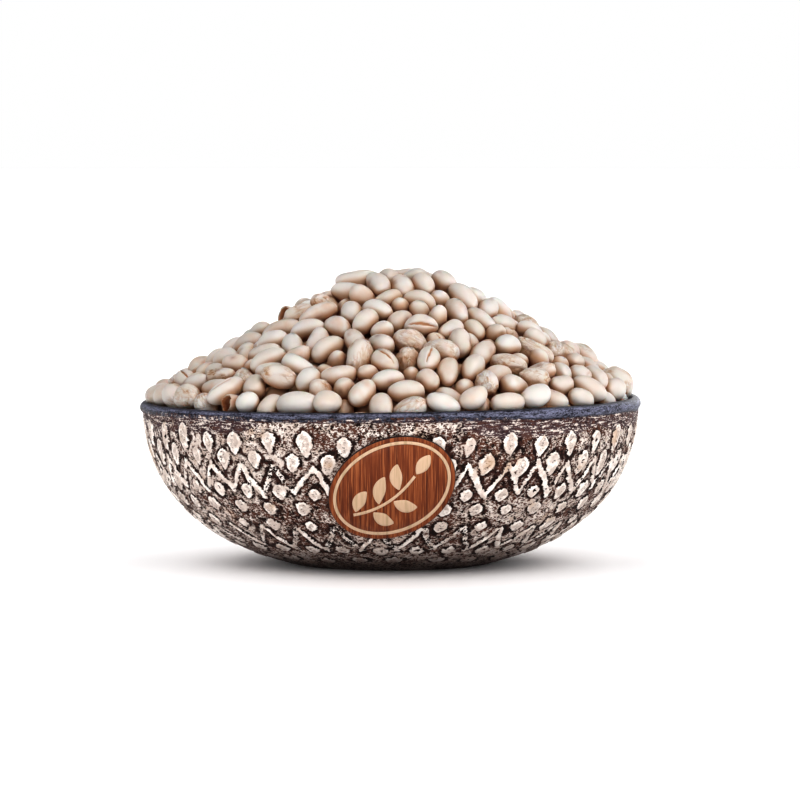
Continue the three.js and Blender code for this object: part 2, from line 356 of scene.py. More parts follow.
reliefSettings = {
    "depth": 0.6,  # how far the stamps stand out of the ground between them
    "seed": 31,
    "upperCount": 39,  # stamps round the bowl in the upper rows
    "lowerCount": 30,  # and in the lower rows
    "footCount": 24,
    "levelStray": 0.5,  # how far a stamp stands over or under its row
    "sizes": (0.86, 1.14),  # from here on, the range of each thing against what its row says
    "heights": (0.92, 1.1),
    "leans": (-0.4, 1.3),
    "points": (0.6, 1.1),
    "holes": (0.6, 1.1),
    "raggedness": (0.02, 0.08),
    "sideStretch": 0.28,  # pointed stamps are this much longer at the bowl's sides
    "strokeWidths": (0.85, 1.15),
    "furrows": (0.1, 0.25),
    "keptSlip": (0.55, 0.5),  # share of the ground with slip, and how unevenly
    "bandHeight": 51.4,  # the brushed band under the rim reaches down to here
    "bandDeeper": 4.6,  # and this much further where it is brushed most
    "bandTurn": 0.45,  # radians by which those places are turned round the bowl
    "dish": 0.42,  # how much lower the middle of a stamp lies than its edge
    "ground": (0.42, 0.25, 0.1),  # mean height of the ground, its grain and its broad waves
    "meanHeight": 0.55,
    "fadeFoot": 3.0,  # the relief fades out this close to the foot
    "fadeTop": 2.6,
}

# Each row of stamps: height of its middle, how much lower it runs on the right, how many go round, where
# the first one is and how far one strays (in steps), width and height of one stamp, how much it leans,
# how pointed it is, and how many have a hole.
stampRows = [
    {"at": 43.9, "dip": 1.2, "count": "upperCount", "start": 0.0, "stray": 0.13,
     "wide": 5.1, "tall": 7.4, "lean": 14, "point": 0.9, "hole": 0.25},
    {"at": 37.9, "dip": 1.9, "count": "upperCount", "start": 0.47, "stray": 0.07,
     "wide": 4.9, "tall": 7.0, "lean": 16, "point": 0.8, "hole": 0.3},
    {"at": 28.2, "dip": 1.1, "count": "upperCount", "start": 0.0, "stray": 0.05,
     "wide": 4.8, "tall": 5.8, "lean": 16, "point": 0.45, "hole": 0.35},
    {"at": 22.5, "dip": 0.6, "count": "upperCount", "start": 0.45, "stray": 0.12,
     "wide": 4.8, "tall": 5.2, "lean": 20, "point": 0.5, "hole": 0.15},
    {"at": 16.8, "dip": 0.3, "count": "lowerCount", "start": 0.2, "stray": 0.06,
     "wide": 4.4, "tall": 5.4, "lean": 16, "point": 0.35, "hole": 0.4},
    {"at": 8.2, "dip": 0.0, "count": "lowerCount", "start": 0.7, "stray": 0.06,
     "wide": 4.5, "tall": 5.4, "lean": 10, "point": 0.1, "hole": 0.6},
    {"at": 4.4, "dip": 0.0, "count": "footCount", "start": 0.2, "stray": 0.12,
     "wide": 6.0, "tall": 5.4, "lean": 4, "point": 0.0, "hole": 0.6},
]
# Each zigzag: heights of its peaks and valleys, how far they stray and sway, the widths of its falling and
# rising strokes, and how many of them have a furrow.
zigzags = [
    {"peak": 37.7, "valley": 27.2, "dip": 0.8, "count": "upperCount", "start": 0.0, "stray": 0.08,
     "sway": 1.0, "falling": 1.8, "rising": 1.3, "furrowed": 0.35},
    {"peak": 16.2, "valley": 8.6, "dip": 0.2, "count": "lowerCount", "start": 0.7, "stray": 0.06,
     "sway": 0.6, "falling": 1.5, "rising": 1.4, "furrowed": 0.6},
]
# Where more slip than elsewhere is left between the stamps, or less: angle from the front and height,
# reach both ways, and how much.
slipPatches = [
    (0, 47.5, 38, 4, -0.3),
    (-60, 49, 26, 4, 0.5),
    (-58, 37, 20, 13, 0.65),
    (-28, 39, 12, 9, 0.35),
    (-34, 20, 22, 7, -0.3),
    (-18, 14, 14, 6, -0.25),
    (12, 13, 14, 6, -0.2),
    (29, 37, 12, 9, -0.35),
    (60, 36, 13, 12, 0.35),
    (33, 20, 16, 7, 0.15),
    (34, 44, 16, 5, -0.35),
    (-80, 24, 14, 26, -0.5),
    (80, 24, 14, 26, -0.5),
    (150, 30, 30, 12, -0.3),
    (-140, 38, 30, 10, 0.3),
]


class WallField:
    # one value over the wall: how far inside a stamp or stroke a spot lies, in millimetres

    def __init__(self, angles, lengths, radii):
        self.angles, self.lengths, self.radii = angles, lengths, radii
        self.inside = np.full((len(lengths), len(angles)), -9.0)

    def window(self, angle, length, reach):
        radius = np.interp(length, self.lengths, self.radii)
        rows = np.nonzero(np.abs(self.lengths - length) < reach)[0]
        turn = (self.angles - angle + np.pi) % (2 * np.pi) - np.pi
        columns = np.nonzero(np.abs(turn) * radius < reach)[0]
        across = turn[columns][None, :] * self.radii[rows][:, None]
        up = np.repeat((self.lengths[rows] - length)[:, None], len(columns), axis=1)
        return np.ix_(rows, columns), across, up

    def mark(self, where, inside):
        self.inside[where] = np.maximum(self.inside[where], inside)

    def stamp(self, angle, length, wide, tall, lean, point, hole, rough):
        where, across, up = self.window(angle, length, max(wide, tall) * 0.75 + 3.0)
        c, s = math.cos(lean), math.sin(lean)
        u, v = across * c - up * s, across * s + up * c
        q = np.clip(0.5 - v / tall, 0.0, 1.0)  # 0 at the stamp's broad head, 1 at its point
        outline = wide / 2 * np.sin(np.pi * q ** (1 - 0.42 * point)) ** (0.55 + 0.35 * point)
        outline *= 1 + rough * np.sin(5 * q + 9 * angle) + rough * np.sin(11 * q + 5 * angle)
        side = outline - np.abs(u)
        beyond = np.maximum(np.abs(v) - tall / 2, 0)
        inside = np.where(beyond > 0, -np.hypot(beyond, np.maximum(-side, 0)), side * 0.85)
        if hole > 0:
            off = np.hypot(u - hole * 0.3, (v - tall * 0.08) * 0.9)
            inside = np.minimum(inside, np.maximum(off - wide * 0.16 * hole, -0.6))
        self.mark(where, inside)

    def stroke(self, start, end, width, groove):
        # a straight stroke between two (angle, length) points, with a furrow down its middle
        middle = ((start[0] + end[0]) / 2, (start[1] + end[1]) / 2)
        where, across, up = self.window(*middle, abs(end[1] - start[1]) / 2 + 5.0)
        radius = np.interp(middle[1], self.lengths, self.radii)
        ax, ay = (start[0] - middle[0]) * radius, start[1] - middle[1]
        bx, by = (end[0] - middle[0]) * radius, end[1] - middle[1]
        span = (bx - ax) ** 2 + (by - ay) ** 2
        share = np.clip(((across - ax) * (bx - ax) + (up - ay) * (by - ay)) / span, 0, 1)
        wobble = 0.3 * np.sin(share * 6 + start[0] * 31) + 0.15 * np.sin(share * 15 + start[0] * 17)
        off = np.hypot(across - ax - share * (bx - ax) + wobble, up - ay - share * (by - ay) + wobble * 0.4)
        inside = width / 2 * (0.85 + 0.3 * np.sin(share * 2.6 + 0.3)) - off
        inside = np.minimum(inside, off - groove)
        self.mark(where, inside)


def stampRow(field, rng, row):
    settings = reliefSettings
    count = settings[row["count"]]
    for i in range(count):
        angle = 2 * np.pi * (i + row["start"] + rng.uniform(-1, 1) * row["stray"]) / count
        level = row["at"] - row["dip"] * math.sin(angle)
        length = wallLength(level + rng.uniform(-settings["levelStray"], settings["levelStray"]))
        size = rng.uniform(*settings["sizes"])
        lean = math.radians(row["lean"] * rng.uniform(*settings["leans"]))
        hole = rng.uniform(*settings["holes"]) if rng.random() < row["hole"] else 0.0
        point = row["point"] * rng.uniform(*settings["points"])
        tall = row["tall"] * size * rng.uniform(*settings["heights"])
        tall *= 1 + settings["sideStretch"] * row["point"] * smoothStep(0.6, 0.95, abs(math.sin(angle)))
        field.stamp(angle, length, row["wide"] * size, tall, lean, point, hole,
                    rng.uniform(*settings["raggedness"]))


def drawZigzag(field, rng, line):
    count = reliefSettings[line["count"]]
    step = 2 * np.pi / count
    turns = []
    for k in range(2 * count):
        angle = step * (k / 2 + line["start"] + rng.uniform(-1, 1) * line["stray"])
        level = line["valley"] if k % 2 else line["peak"]
        level = level - line["dip"] * math.sin(angle) + line["sway"] * rng.uniform(-1, 1)
        turns.append((angle, wallLength(level)))
    turns.append((turns[0][0] + 2 * np.pi, turns[0][1]))
    for k in range(2 * count):
        width = line["rising"] if k % 2 else line["falling"]
        furrow = rng.uniform(*reliefSettings["furrows"]) if rng.random() < line["furrowed"] else -1.0
        field.stroke(turns[k], turns[k + 1], width * rng.uniform(*reliefSettings["strokeWidths"]), furrow)


def wallRelief(angles, profile, lengths):
    rng = np.random.default_rng(reliefSettings["seed"])
    field = WallField(angles, lengths, profile[:, 0])
    for row in stampRows:
        stampRow(field, rng, row)
    for line in zigzags:
        drawZigzag(field, rng, line)
    x = np.sin(angles)[None, :] * profile[:, :1]
    y = -np.cos(angles)[None, :] * profile[:, :1]
    z = np.repeat(profile[:, 1:], len(angles), axis=1)
    place = np.stack([x, y, z], axis=-1)
    grain = waveNoise(rng, place, 2.4, 18)
    broad = waveNoise(rng, place * np.array([1, 1, 1.6]), 15.0, 12)
    # how much slip the ground between the stamps has kept, and where the rim's brushed band covers it
    settings = reliefSettings
    cover = settings["keptSlip"][0] + settings["keptSlip"][1] * broad
    for turn, level, wide, tall, amount in slipPatches:
        off = (angles - math.radians(turn) + np.pi) % (2 * np.pi) - np.pi
        away = (off[None, :] / math.radians(wide)) ** 2 + ((profile[:, 1:] - level) / tall) ** 2
        cover += amount * np.exp(-away)
    cover = np.clip(cover, 0.0, 1.0)
    side = smoothStep(0.7, -0.2, np.cos(3 * angles + settings["bandTurn"])[None, :] + 0.15 * broad)
    band = profile[:, 1:] - settings["bandHeight"] + settings["bandDeeper"] * side
    brushed = side ** 0.5 * smoothStep(-1.6, 1.2, band + 1.2 * broad + 0.7 * grain)
    standing = smoothStep(-0.15, 0.5, field.inside)
    dish = settings["dish"] * smoothStep(0.6, 1.5, field.inside)
    beside = smoothStep(0.5, 1.7, -field.inside)  # 0 right beside a stamp, where the ground is lowest
    mean, grainy, wavy = settings["ground"]
    ground = beside * np.clip(mean + grainy * grain + wavy * broad, 0, 0.7)
    glazed = profile[:, 1:] - glazeEdge(angles)[None, :]
    marks = {"inside": field.inside, "cover": cover, "brushed": brushed, "glazed": glazed}
    return marks, np.maximum(standing - dish, ground)


def glazeEdge(angles):
    # the dark glaze of the rim ends at this height; it runs lower on the right
    low = 1.9 * smoothStep(0.2, 0.8, np.sin(angles))
    return 53.1 - low + 0.22 * np.sin(7 * angles + 1) + 0.14 * np.sin(17 * angles)


def halveRing(lower, upper):
    # faces from a ring to one with half as many points
    even, odd, after = lower[0::2], lower[1::2], np.roll(lower[0::2], -1)
    above = np.roll(upper, -1)
    triples = [(even, odd, upper), (odd, above, upper), (odd, after, above)]
    return np.concatenate([np.stack(triple, 1) for triple in triples])


def innerCurve():
    # from the middle of the bowl's floor up to the bead
    wall, base = bowlShape["wall"], bowlShape["base"]
    return bezier([
        (bowlShape["footRadius"] - wall, base),
        (bowlShape["lowerPull"][0] - wall, bowlShape["lowerPull"][1] + base),
        (bowlShape["upperPull"][0] - wall, bowlShape["upperPull"][1] + wall / 2),
        (innerRadius, beadCentre[1])], 400)


def makeBowl():
    segments, beadRadius = bowlShape["segments"], bowlShape["beadRadius"]
    profile, lengths = evenPoints(wallCurve, bowlShape["rowPitch"])
    angles = 2 * np.pi * np.arange(segments) / segments
    wall, height = wallRelief(angles, profile, lengths)
    tangent = np.gradient(profile, axis=0)
    normal = np.stack([tangent[:, 1], -tangent[:, 0]], axis=1)
    normal /= np.linalg.norm(normal, axis=1, keepdims=True)
    fadeFoot = smoothStep(0.0, reliefSettings["fadeFoot"], lengths)
    fadeTop = smoothStep(0.0, reliefSettings["fadeTop"], lengths[-1] - lengths)
    lift = (height - reliefSettings["meanHeight"]) * reliefSettings["depth"] * (fadeFoot * fadeTop)[:, None]
    points, faces, rings = [], [], []
    marks = {"inside": [], "cover": [], "brushed": [], "glazed": [], "upward": []}
    plain = {"inside": -5.0, "cover": 0.5, "brushed": 0.0, "glazed": 5.0, "upward": 1.0}

    def addRing(radius, level, turn, values=plain):
        # turn holds the angles; the front of the bowl is at angle 0 and -Y
        tilt = bowlShape["rimTilt"] * (level / bowlShape["height"]) ** 2 * np.sin(turn)
        points.append(np.stack([radius * np.sin(turn), -radius * np.cos(turn), level + tilt], axis=1))
        for key in marks:
            marks[key].append(np.broadcast_to(values.get(key, 0.0), len(turn)))
        first = rings[-1][-1] + 1 if rings else 0
        rings.append(np.arange(first, first + len(turn)))

    for k in range(len(profile)):
        pick = slice(None, None, 2) if profile[k, 1] < bowlShape["halvedBelow"] else slice(None)
        radius = profile[k, 0] + normal[k, 0] * lift[k, pick]
        level = profile[k, 1] + normal[k, 1] * lift[k, pick]
        addRing(radius, np.maximum(level, 0), angles[pick], {key: wall[key][k, pick] for key in wall})
    startAngle = math.asin((wallTop[1] - beadCentre[1]) / beadRadius)
    for k, turn in enumerate(np.linspace(startAngle, np.pi, bowlShape["beadRings"] + 1)[1:]):
        pick = slice(None) if k < bowlShape["beadFullRings"] else slice(None, None, 2)
        wobble = 0.10 * np.sin(3 * angles[pick] + 0.7) + 0.06 * np.sin(11 * angles[pick])
        radius = beadCentre[0] + beadRadius * math.cos(turn) + wobble * max(math.cos(turn), 0)
        radius -= bowlShape["beadSunk"]
        level = beadCentre[1] + beadRadius * math.sin(turn) + wobble * 0.6
        upward = 1.0 if turn > np.pi / 2 else max(math.sin(turn), 0.0)
        glazed = np.maximum(level - glazeEdge(angles[pick]), 5.0 * (turn > np.pi / 2))
        addRing(radius, level, angles[pick], plain | {"brushed": 1.0, "glazed": glazed, "upward": upward})
    for radius, level in evenPoints(innerCurve(), bowlShape["innerPitch"])[0][::-1][1:]:
        addRing(radius, level + 0 * angles[::4], angles[::4])
    for lower, upper in zip(rings, rings[1:]):
        if len(lower) == len(upper):
            faces.append(ringFaces(lower, upper))
        elif len(lower) > len(upper):
            faces.append(halveRing(lower, upper))
        else:
            faces.append(halveRing(upper, lower)[:, ::-1])
    top, foot, total = rings[-1], rings[0], rings[-1][-1] + 1
    points.append(np.array([[0, 0, bowlShape["base"]], [0, 0, 0.0]]))
    for key in marks:
        marks[key].append(np.array([plain[key], -9.0 if key == "glazed" else plain[key]]))
    faces.append(np.stack([top, np.roll(top, -1), np.full(len(top), total)], 1))
    faces.append(np.stack([np.roll(foot, -1), foot, np.full(len(foot), total + 1)], 1))
    attributes = {key: np.concatenate(parts) for key, parts in marks.items()}
    bowl = buildMesh("bowlShell", np.concatenate(points), faces, attributes)
    bowl.data.materials.append(stonewareMaterial())
    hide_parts("bowl")
    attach(bowl, "root")
    return bowl


stonewareLook = {
    "slip": "#f4ece6",
    "slipWorn": "#cfc1b8",
    "hollow": "#b9aaa1",
    "slipStained": "#b8946f",
    "tan": "#b09684",
    "umber": "#1d0b07",
    "umberLight": "#472a23",
    "rust": "#704c3f",
    "brushed": "#4e3d42",
    "scratch": "#e9ddd4",
    "glaze": "#191820",
    "glazeScuffedSheen": "#838498",
    "glazeDark": "#0d0c12",
}


def stonewareMaterial():
    shader = Shader("stoneware")
    look = {key: srgb(code) for key, code in stonewareLook.items()}
    place = shader.place()
    inside, cover = shader.attribute("inside"), shader.attribute("cover")
    level = shader.add("ShaderNodeSeparateXYZ", None, Vector=place).outputs["Z"]
    speckle = shader.noise(shader.place((0.75, 0.75, 1.35)), 0.62, 2.0, 0.6, 0.5)
    fine = shader.noise(place, 1.4, 2.0, 0.6)
    patchy = shader.noise(place, 2.3, 2.0, 0.55)
    medium = shader.noise(place, 3.6, 3.0, 0.6)
    blotch = shader.noise(place, 11.0, 3.0, 0.6)
    streak = shader.noise(shader.place((0.2, 0.2, 1.5)), 1.0, 4.0, 0.65, 0.4)
    # slip stays on the stamps, worn away in specks along their edges and in their hollows, whose greyer
    # colour is partly painted shade
    worn = shader.timesPlus(speckle, 1.3, shader.timesPlus(patchy, 0.9, -1.1))
    worn = shader.timesPlus(fine, 1.7, shader.plus(worn, -0.85))
    centre = shader.ramp(inside, 0.6, 1.3)
    onStamp = shader.ramp(shader.plus(shader.calc("MINIMUM", inside, 0.5), worn), -0.08, 0.1)
    # on the ground it is left as specks, and here and there none right beside a stamp
    beside = shader.timesPlus(medium, 8.0, shader.plus(inside, -4.1))
    away = shader.ramp(shader.timesPlus(worn, 1.3, beside), -1.6, -0.5, 1.0, 0.0)
    brushed = shader.timesPlus(medium, 1.2, shader.attribute("brushed"))
    brushed = shader.ramp(brushed, 0.85, 1.2)
    specks = shader.timesPlus(fine, 0.7, shader.times(speckle, 1.3))
    share = shader.timesPlus(cover, 0.24, specks)
    share = shader.minus(share, shader.times(brushed, 0.24))
    onGround = shader.times(shader.ramp(share, 1.07, 1.17), away)
    slip = shader.calc("MAXIMUM", onStamp, onGround)
    ground = shader.ramp(inside, -0.4, -0.2, 1.0, 0.0)
    pale = shader.mix(shader.ramp(medium, 0.37, 0.64), look["slipWorn"], look["slip"])
    pale = shader.mix(shader.times(ground, 0.3), pale, look["slipWorn"])
    pale = shader.mix(shader.times(ground, shader.ramp(patchy, 0.5, 0.64, 0.0, 0.45)), pale, look["tan"])
    # partly painted shade: the stamps' dished middles are mottled greyer
    mottled = shader.times(centre, shader.ramp(fine, 0.38, 0.6, 0.85, 0.2))
    pale = shader.mix(mottled, pale, look["hollow"])
    pitted = shader.times(centre, shader.ramp(speckle, 0.34, 0.43, 0.75, 0.0))
    pale = shader.mix(pitted, pale, look["umber"])
    pale = shader.mix(shader.ramp(blotch, 0.58, 0.74, 0.0, 0.5), pale, look["slipStained"])
    dark = shader.mix(shader.ramp(fine, 0.42, 0.66), look["umber"], look["umberLight"])
    rusty = shader.times(away, shader.ramp(patchy, 0.46, 0.6, 0.75, 0.0))
    dark = shader.mix(rusty, dark, look["rust"])
    dark = shader.mix(shader.times(brushed, shader.ramp(streak, 0.3, 0.6)), dark, look["brushed"])
    scratched = shader.timesPlus(speckle, 0.5, streak)
    scratched = shader.times(brushed, shader.ramp(scratched, 0.78, 0.88, 0.0, 0.9))
    dark = shader.mix(scratched, dark, look["scratch"])
    # painted shade: the slip and the ground turn darker towards the foot
    pale = shader.mix(shader.ramp(level, 1.5, 12.5, 0.2, 1.0), look["umberLight"], pale)
    dark = shader.mix(shader.ramp(level, 1.5, 9.0, 0.7, 0.0), dark, look["umber"])
    wall = shader.mix(slip, dark, pale)
    # the rim's glaze, scuffed along its middle and nearly black on top and at its lower edge: the scuffs are
    # partly wear and partly a painted reflection along the bead's middle, and the black on top and at the
    # lower edge is painted shade
    overEdge, upward = shader.attribute("glazed"), shader.attribute("upward")
    glazed = shader.timesPlus(fine, 1.4, shader.plus(overEdge, -0.7))
    glazed = shader.ramp(glazed, -0.15, 0.15)
    scuffsAndSheen = shader.timesPlus(speckle, 0.5, shader.times(streak, 0.5))
    glaze = shader.mix(shader.ramp(scuffsAndSheen, 0.36, 0.64), look["glaze"], look["glazeScuffedSheen"])
    glaze = shader.mix(shader.ramp(upward, 0.62, 0.95, 0.0, 0.75), glaze, look["glazeDark"])
    glaze = shader.mix(shader.ramp(overEdge, 0.1, 0.8, 0.6, 0.0), glaze, look["glazeDark"])
    colour = shader.mix(glazed, wall, glaze)
    height = shader.timesPlus(speckle, 0.5, slip)
    height = shader.times(height, shader.ramp(glazed, 0.2, 0.8, 1.0, 0.25))
    return shader.finish(Base_Color=colour, Roughness=shader.ramp(glazed, 0.2, 0.8, 0.6, 0.42),
                         Normal=shader.bump(height, 0.2, 1.0),
                         Specular_IOR_Level=shader.ramp(glazed, 0.2, 0.8, 0.16, 0.14))


bowlPieces = [makeBowl()]
print("bowl is in")


badgeShape = {
    "centre": (0.5, 31.2),
    "halfLength": 20.8,
    "halfWidth": 15.7,
    "tilt": 24.5,
    "gap": 0.3,
    "thickness": 1.6,
    "edge": 0.5,
    "ringInset": 1.6,
    "ringWidth": 1.0,
    "ringDepth": 0.3,
    "ringCrown": 0.03,  # its middle stands this far over the badge's face
    "ringSunk": 0.02,  # and its edges lie this far under it
    "ringBevel": 0.1,
    "grooveDepth": 0.35,
    "clearance": 0.06,
    "around": 180,
}
badgeFace = badgeShape["gap"] + badgeShape["thickness"]
sprigShape = {
    "stem": [(-14.4, -2.6), (-3, -5.6), (8.2, 0.8)],
    "stemWidth": 0.9,
    "leafWidth": 4.0,
    "leafGap": 0.9,
    "leaves": [(0.04, 1, 8), (0.27, -1, 7.8), (0.39, 1, 9.6), (0.58, -1, 8.2), (0.74, 1, 8.8)],
    "endLeaf": 7.2,
    "rise": 0.3,  # how far the leaves stand out of the badge's face
    "steps": 28,
}


def onWall(along, across, lift):
    # badge coordinates to a place over the bowl's wall
    tilt = math.radians(badgeShape["tilt"])
    x = badgeShape["centre"][0] + along * math.cos(tilt) - across * math.sin(tilt)
    z = badgeShape["centre"][1] + along * math.sin(tilt) + across * math.cos(tilt)
    y = -np.sqrt(wallRadius(z) ** 2 - x * x)
    slope = wallRadius(z + 0.5) - wallRadius(z - 0.5)
    radius = np.hypot(x, y)
    normal = np.stack([x / radius, y / radius, -slope], -1)
    normal /= np.linalg.norm(normal, axis=-1, keepdims=True)
    return np.stack([x, y, z], -1) + normal * np.asarray(lift)[..., None]


def ovalSweep(name, section, closed):
    # section: (inset from the badge's edge, lift) pairs from the back's middle round to the face's middle;
    # the "side" attribute is 1 on the outer edge, where the wood is given painted shade
    count = badgeShape["around"]
    turn = 2 * np.pi * np.arange(count) / count
    points = [onWall((badgeShape["halfLength"] - inset) * np.cos(turn),
                     (badgeShape["halfWidth"] - inset) * np.sin(turn), np.full(count, lift))
              for inset, lift in section]
    rings = [np.arange(count) + k * count for k in range(len(section))]
    faces = [ringFaces(a, b) for a, b in zip(rings, rings[1:])]
    if closed:
        faces.append(ringFaces(rings[-1], rings[0]))
    else:
        total = count * len(section)
        points.append(np.stack([onWall(0.0, 0.0, section[0][1]), onWall(0.0, 0.0, section[-1][1])]))
        faces.append(np.stack([np.roll(rings[0], -1), rings[0], np.full(count, total)], 1))
        faces.append(np.stack([rings[-1], np.roll(rings[-1], -1), np.full(count, total + 1)], 1))
    side = np.repeat([float(inset < 0.3) for inset, lift in section], count)
    side = np.concatenate([side, np.zeros(sum(map(len, points)) - len(side))])
    return buildMesh(name, np.concatenate(points), faces, {"side": side})


def badgeSection():
    back, face = badgeShape["gap"], badgeFace
    edge, groove = badgeShape["edge"], badgeShape["grooveDepth"]
    inward = [badgeShape["halfWidth"] * share for share in (0.9, 0.75, 0.6, 0.45, 0.3)]
    section = [(inset, back) for inset in inward] + [(0.25, back), (0.05, back + 0.12)]
    for angle in np.linspace(0, np.pi / 2, 6):
        section.append((edge - edge * math.cos(angle), face - edge + edge * math.sin(angle)))
    start = badgeShape["ringInset"] - badgeShape["clearance"]
    end = badgeShape["ringInset"] + badgeShape["ringWidth"] + badgeShape["clearance"]
    section += [(start - 0.1, face), (start, face - 0.08), (start, face - groove), (end, face - groove),
                (end, face - 0.08), (end + 0.1, face)]
    return section + [(inset, face) for inset in inward[::-1]]


def ribbon(path, halfWidth):
    # points of a slightly domed strip along a path on the badge's face
    share = np.linspace(0, 1, sprigShape["steps"] + 1)
    a, b, c = (np.array(p, dtype=float) for p in path)
    s = share[:, None]
    centre = (1 - s) ** 2 * a + 2 * s * (1 - s) * b + s * s * c
    tangent = np.gradient(centre, axis=0)
    tangent /= np.linalg.norm(tangent, axis=1, keepdims=True)
    side = np.stack([-tangent[:, 1], tangent[:, 0]], 1)
    half = halfWidth(share)
    rightHalf = [(0.4, 1.0), (0.8, 0.85), (1, 0.4), (1, -0.1)]
    profile = [(-across, lift) for across, lift in rightHalf[::-1]] + [(0, 0.95)] + rightHalf
    rows = []
    for across, lift in profile:
        spot = centre + side * (half * across)[:, None]
        height = badgeFace + lift * sprigShape["rise"]
        rows.append(onWall(spot[:, 0], spot[:, 1], np.full(len(spot), height)))
    return np.stack(rows, axis=1)


def makeRibbons(name, ribbons, nodes):
    points, faces, total = [], [], 0
    for grid in ribbons:
        long, wide = grid.shape[:2]
        number = total + np.arange(long * wide).reshape(long, wide)
        looped = np.concatenate([number, number[:, :1]], axis=1)
        corners = [looped[:-1, :-1], looped[:-1, 1:], looped[1:, 1:], looped[1:, :-1]]
        faces.append(np.stack(corners, -1).reshape(-1, 4))
        faces.append(number[:1][:, ::-1])
        faces.append(number[-1:])
        points.append(grid.reshape(-1, 3))
        total += long * wide
    piece = buildMesh(name, np.concatenate(points), faces)
    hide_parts(*nodes)
    return piece


def makeSprig():
    shape = sprigShape
    stem = [np.array(p, dtype=float) for p in shape["stem"]]

    def onStem(share):
        spot = (1 - share) ** 2 * stem[0] + 2 * share * (1 - share) * stem[1] + share ** 2 * stem[2]
        forward = (1 - share) * (stem[1] - stem[0]) + share * (stem[2] - stem[1])
        return spot, forward / np.linalg.norm(forward)

    def leafWidth(share):
        return 0.15 + (shape["leafWidth"] / 2 - 0.15) * np.sin(np.pi * np.clip(share, 0.001, 0.999)) ** 0.8

    stemStrip = ribbon(stem, lambda share: np.full(len(share), shape["stemWidth"] / 2))
    stemPiece = makeRibbons("sprigStem", [stemStrip], ["sprig_stem"])
    leaves = []
    for share, side, length in shape["leaves"]:
        spot, forward = onStem(share)
        outward = np.array([-forward[1], forward[0]]) * side
        foot = spot + outward * shape["leafGap"]
        leaves.append(ribbon([foot, foot + (0.16 * forward + 0.46 * outward) * length,
                              foot + (0.58 * forward + 0.7 * outward) * length], leafWidth))
    spot, forward = onStem(1.0)
    foot = spot + forward * shape["leafGap"]
    tip = forward * shape["endLeaf"]
    leaves.append(ribbon([foot, foot + tip / 2, foot + tip], leafWidth))
    names = ["sprig_leaf_" + str(k + 1) for k in range(len(shape["leaves"]))] + ["sprig_leaf_end"]
    return stemPiece, makeRibbons("sprigLeaves", leaves, names)


woods = {
    "badgeWood": {"dark": "#4f200c", "middle": "#763a1a", "light": "#a5673e",
                  "line": 0.44, "roughness": 0.38},
    "paleInlay": {"dark": "#b0987c", "middle": "#c8ae95", "light": "#c8ae95",
                  "line": 0.5, "roughness": 0.45},
}
woodEdgeShade = "#2b1a17"


def woodMaterial(name):
    # upright grain: fine fibres and broader stripes
    shader = Shader(name)
    wood = woods[name]
    dark, middle, light = srgb(wood["dark"]), srgb(wood["middle"]), srgb(wood["light"])
    fibre = shader.noise(shader.place((1, 0.05, 0.03)), wood["line"], 3.0, 0.6, 0.05)
    stripe = shader.noise(shader.place((1, 0.05, 0.04)), wood["line"] * 3.2, 2.0, 0.5, 0.1)
    pores = shader.noise(shader.place((1, 0.1, 0.08)), wood["line"] * 0.5, 2.0)
    colour = shader.mix(shader.ramp(stripe, 0.25, 0.55), dark, middle)
    colour = shader.mix(shader.ramp(stripe, 0.5, 0.7, 0.0, 0.5), colour, light)
    colour = shader.mix(shader.ramp(fibre, 0.45, 0.72), colour, light)
    colour = shader.mix(shader.ramp(fibre, 0.3, 0.44, 0.6, 0.0), colour, dark)
    # painted shade: the badge's outer edge is painted nearly black, a dark line standing in for its shadow
    colour = shader.mix(shader.ramp(shader.attribute("side"), 0.3, 0.9), colour, srgb(woodEdgeShade))
    height = shader.plus(fibre, shader.times(pores, 0.5))
    roughness = shader.ramp(pores, 0.3, 0.7, wood["roughness"], wood["roughness"] + 0.12)
    return shader.finish(Base_Color=colour, Roughness=roughness, Normal=shader.bump(height, 0.05, 0.6),
                         Specular_IOR_Level=0.3)


def ringSection():
    outer, inner = badgeShape["ringInset"], badgeShape["ringInset"] + badgeShape["ringWidth"]
    bottom, edge = badgeFace - badgeShape["ringDepth"], badgeFace - badgeShape["ringSunk"]
    crown, bevel = badgeFace + badgeShape["ringCrown"], badgeShape["ringBevel"]
    return [(inner, bottom), (outer, bottom), (outer, edge), (outer + bevel, crown), (inner - bevel, crown),
            (inner, edge)]


def makeBadge():
    board = ovalSweep("badgeBoard", badgeSection(), False)
    board.data.materials.append(woodMaterial("badgeWood"))
    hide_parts("badge")
    ring = ovalSweep("badgeRing", ringSection(), True)
    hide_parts("badge_ring")
    inlay = woodMaterial("paleInlay")
    inlaid = [ring, *makeSprig()]
    for piece in inlaid:
        piece.data.materials.append(inlay)
        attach(piece, "root")
    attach(board, "root")
    return [board, *inlaid]


bowlPieces += makeBadge()
print("badge is in")


heapShape = {
    "edgeRise": 2.1,
    "slope": 0.582,
    "crownRounding": 10.0,
    "crownShiftX": 3.4,
    "ceiling": 2.2,  # the highest beans reach this far over the mean surface, give or take
    "top": 98.6,
}
beanSettings = {
    "seed": 7,
    "count": 900,
    "rimCount": 42,  # of these, beans that lie along the rim
    "shellDepth": 18.0,  # how far under the heap's mean surface the hidden core lies
    "steps": 260,
    "rimRest": (-0.8, 2.4),  # the rim beans' middles stay this far over the bowl
    "rimLie": 0.08,  # and most of them are turned along the rim this much at each step
    "rimLength": 11.8,  # and they are no longer than this
    "rimGap": 2.5,  # and they start this far inside the bowl's opening
    "unevenness": (-2.2, 2.4),  # how far single beans may stand over the others, or have to stay under
    "startFlat": 0.75,  # the beans start mostly lying flat on the heap
    "startAcross": 0.45,  # and rather across its slope than down it
    "fall": 0.35,
    "lieFlat": 0.012,
    "passes": 3,
    "push": 0.36,
    "nearEnough": 9.5,  # pairs further apart than this can't touch for a while
    "pairEvery": 10,  # steps between two searches for pairs
}
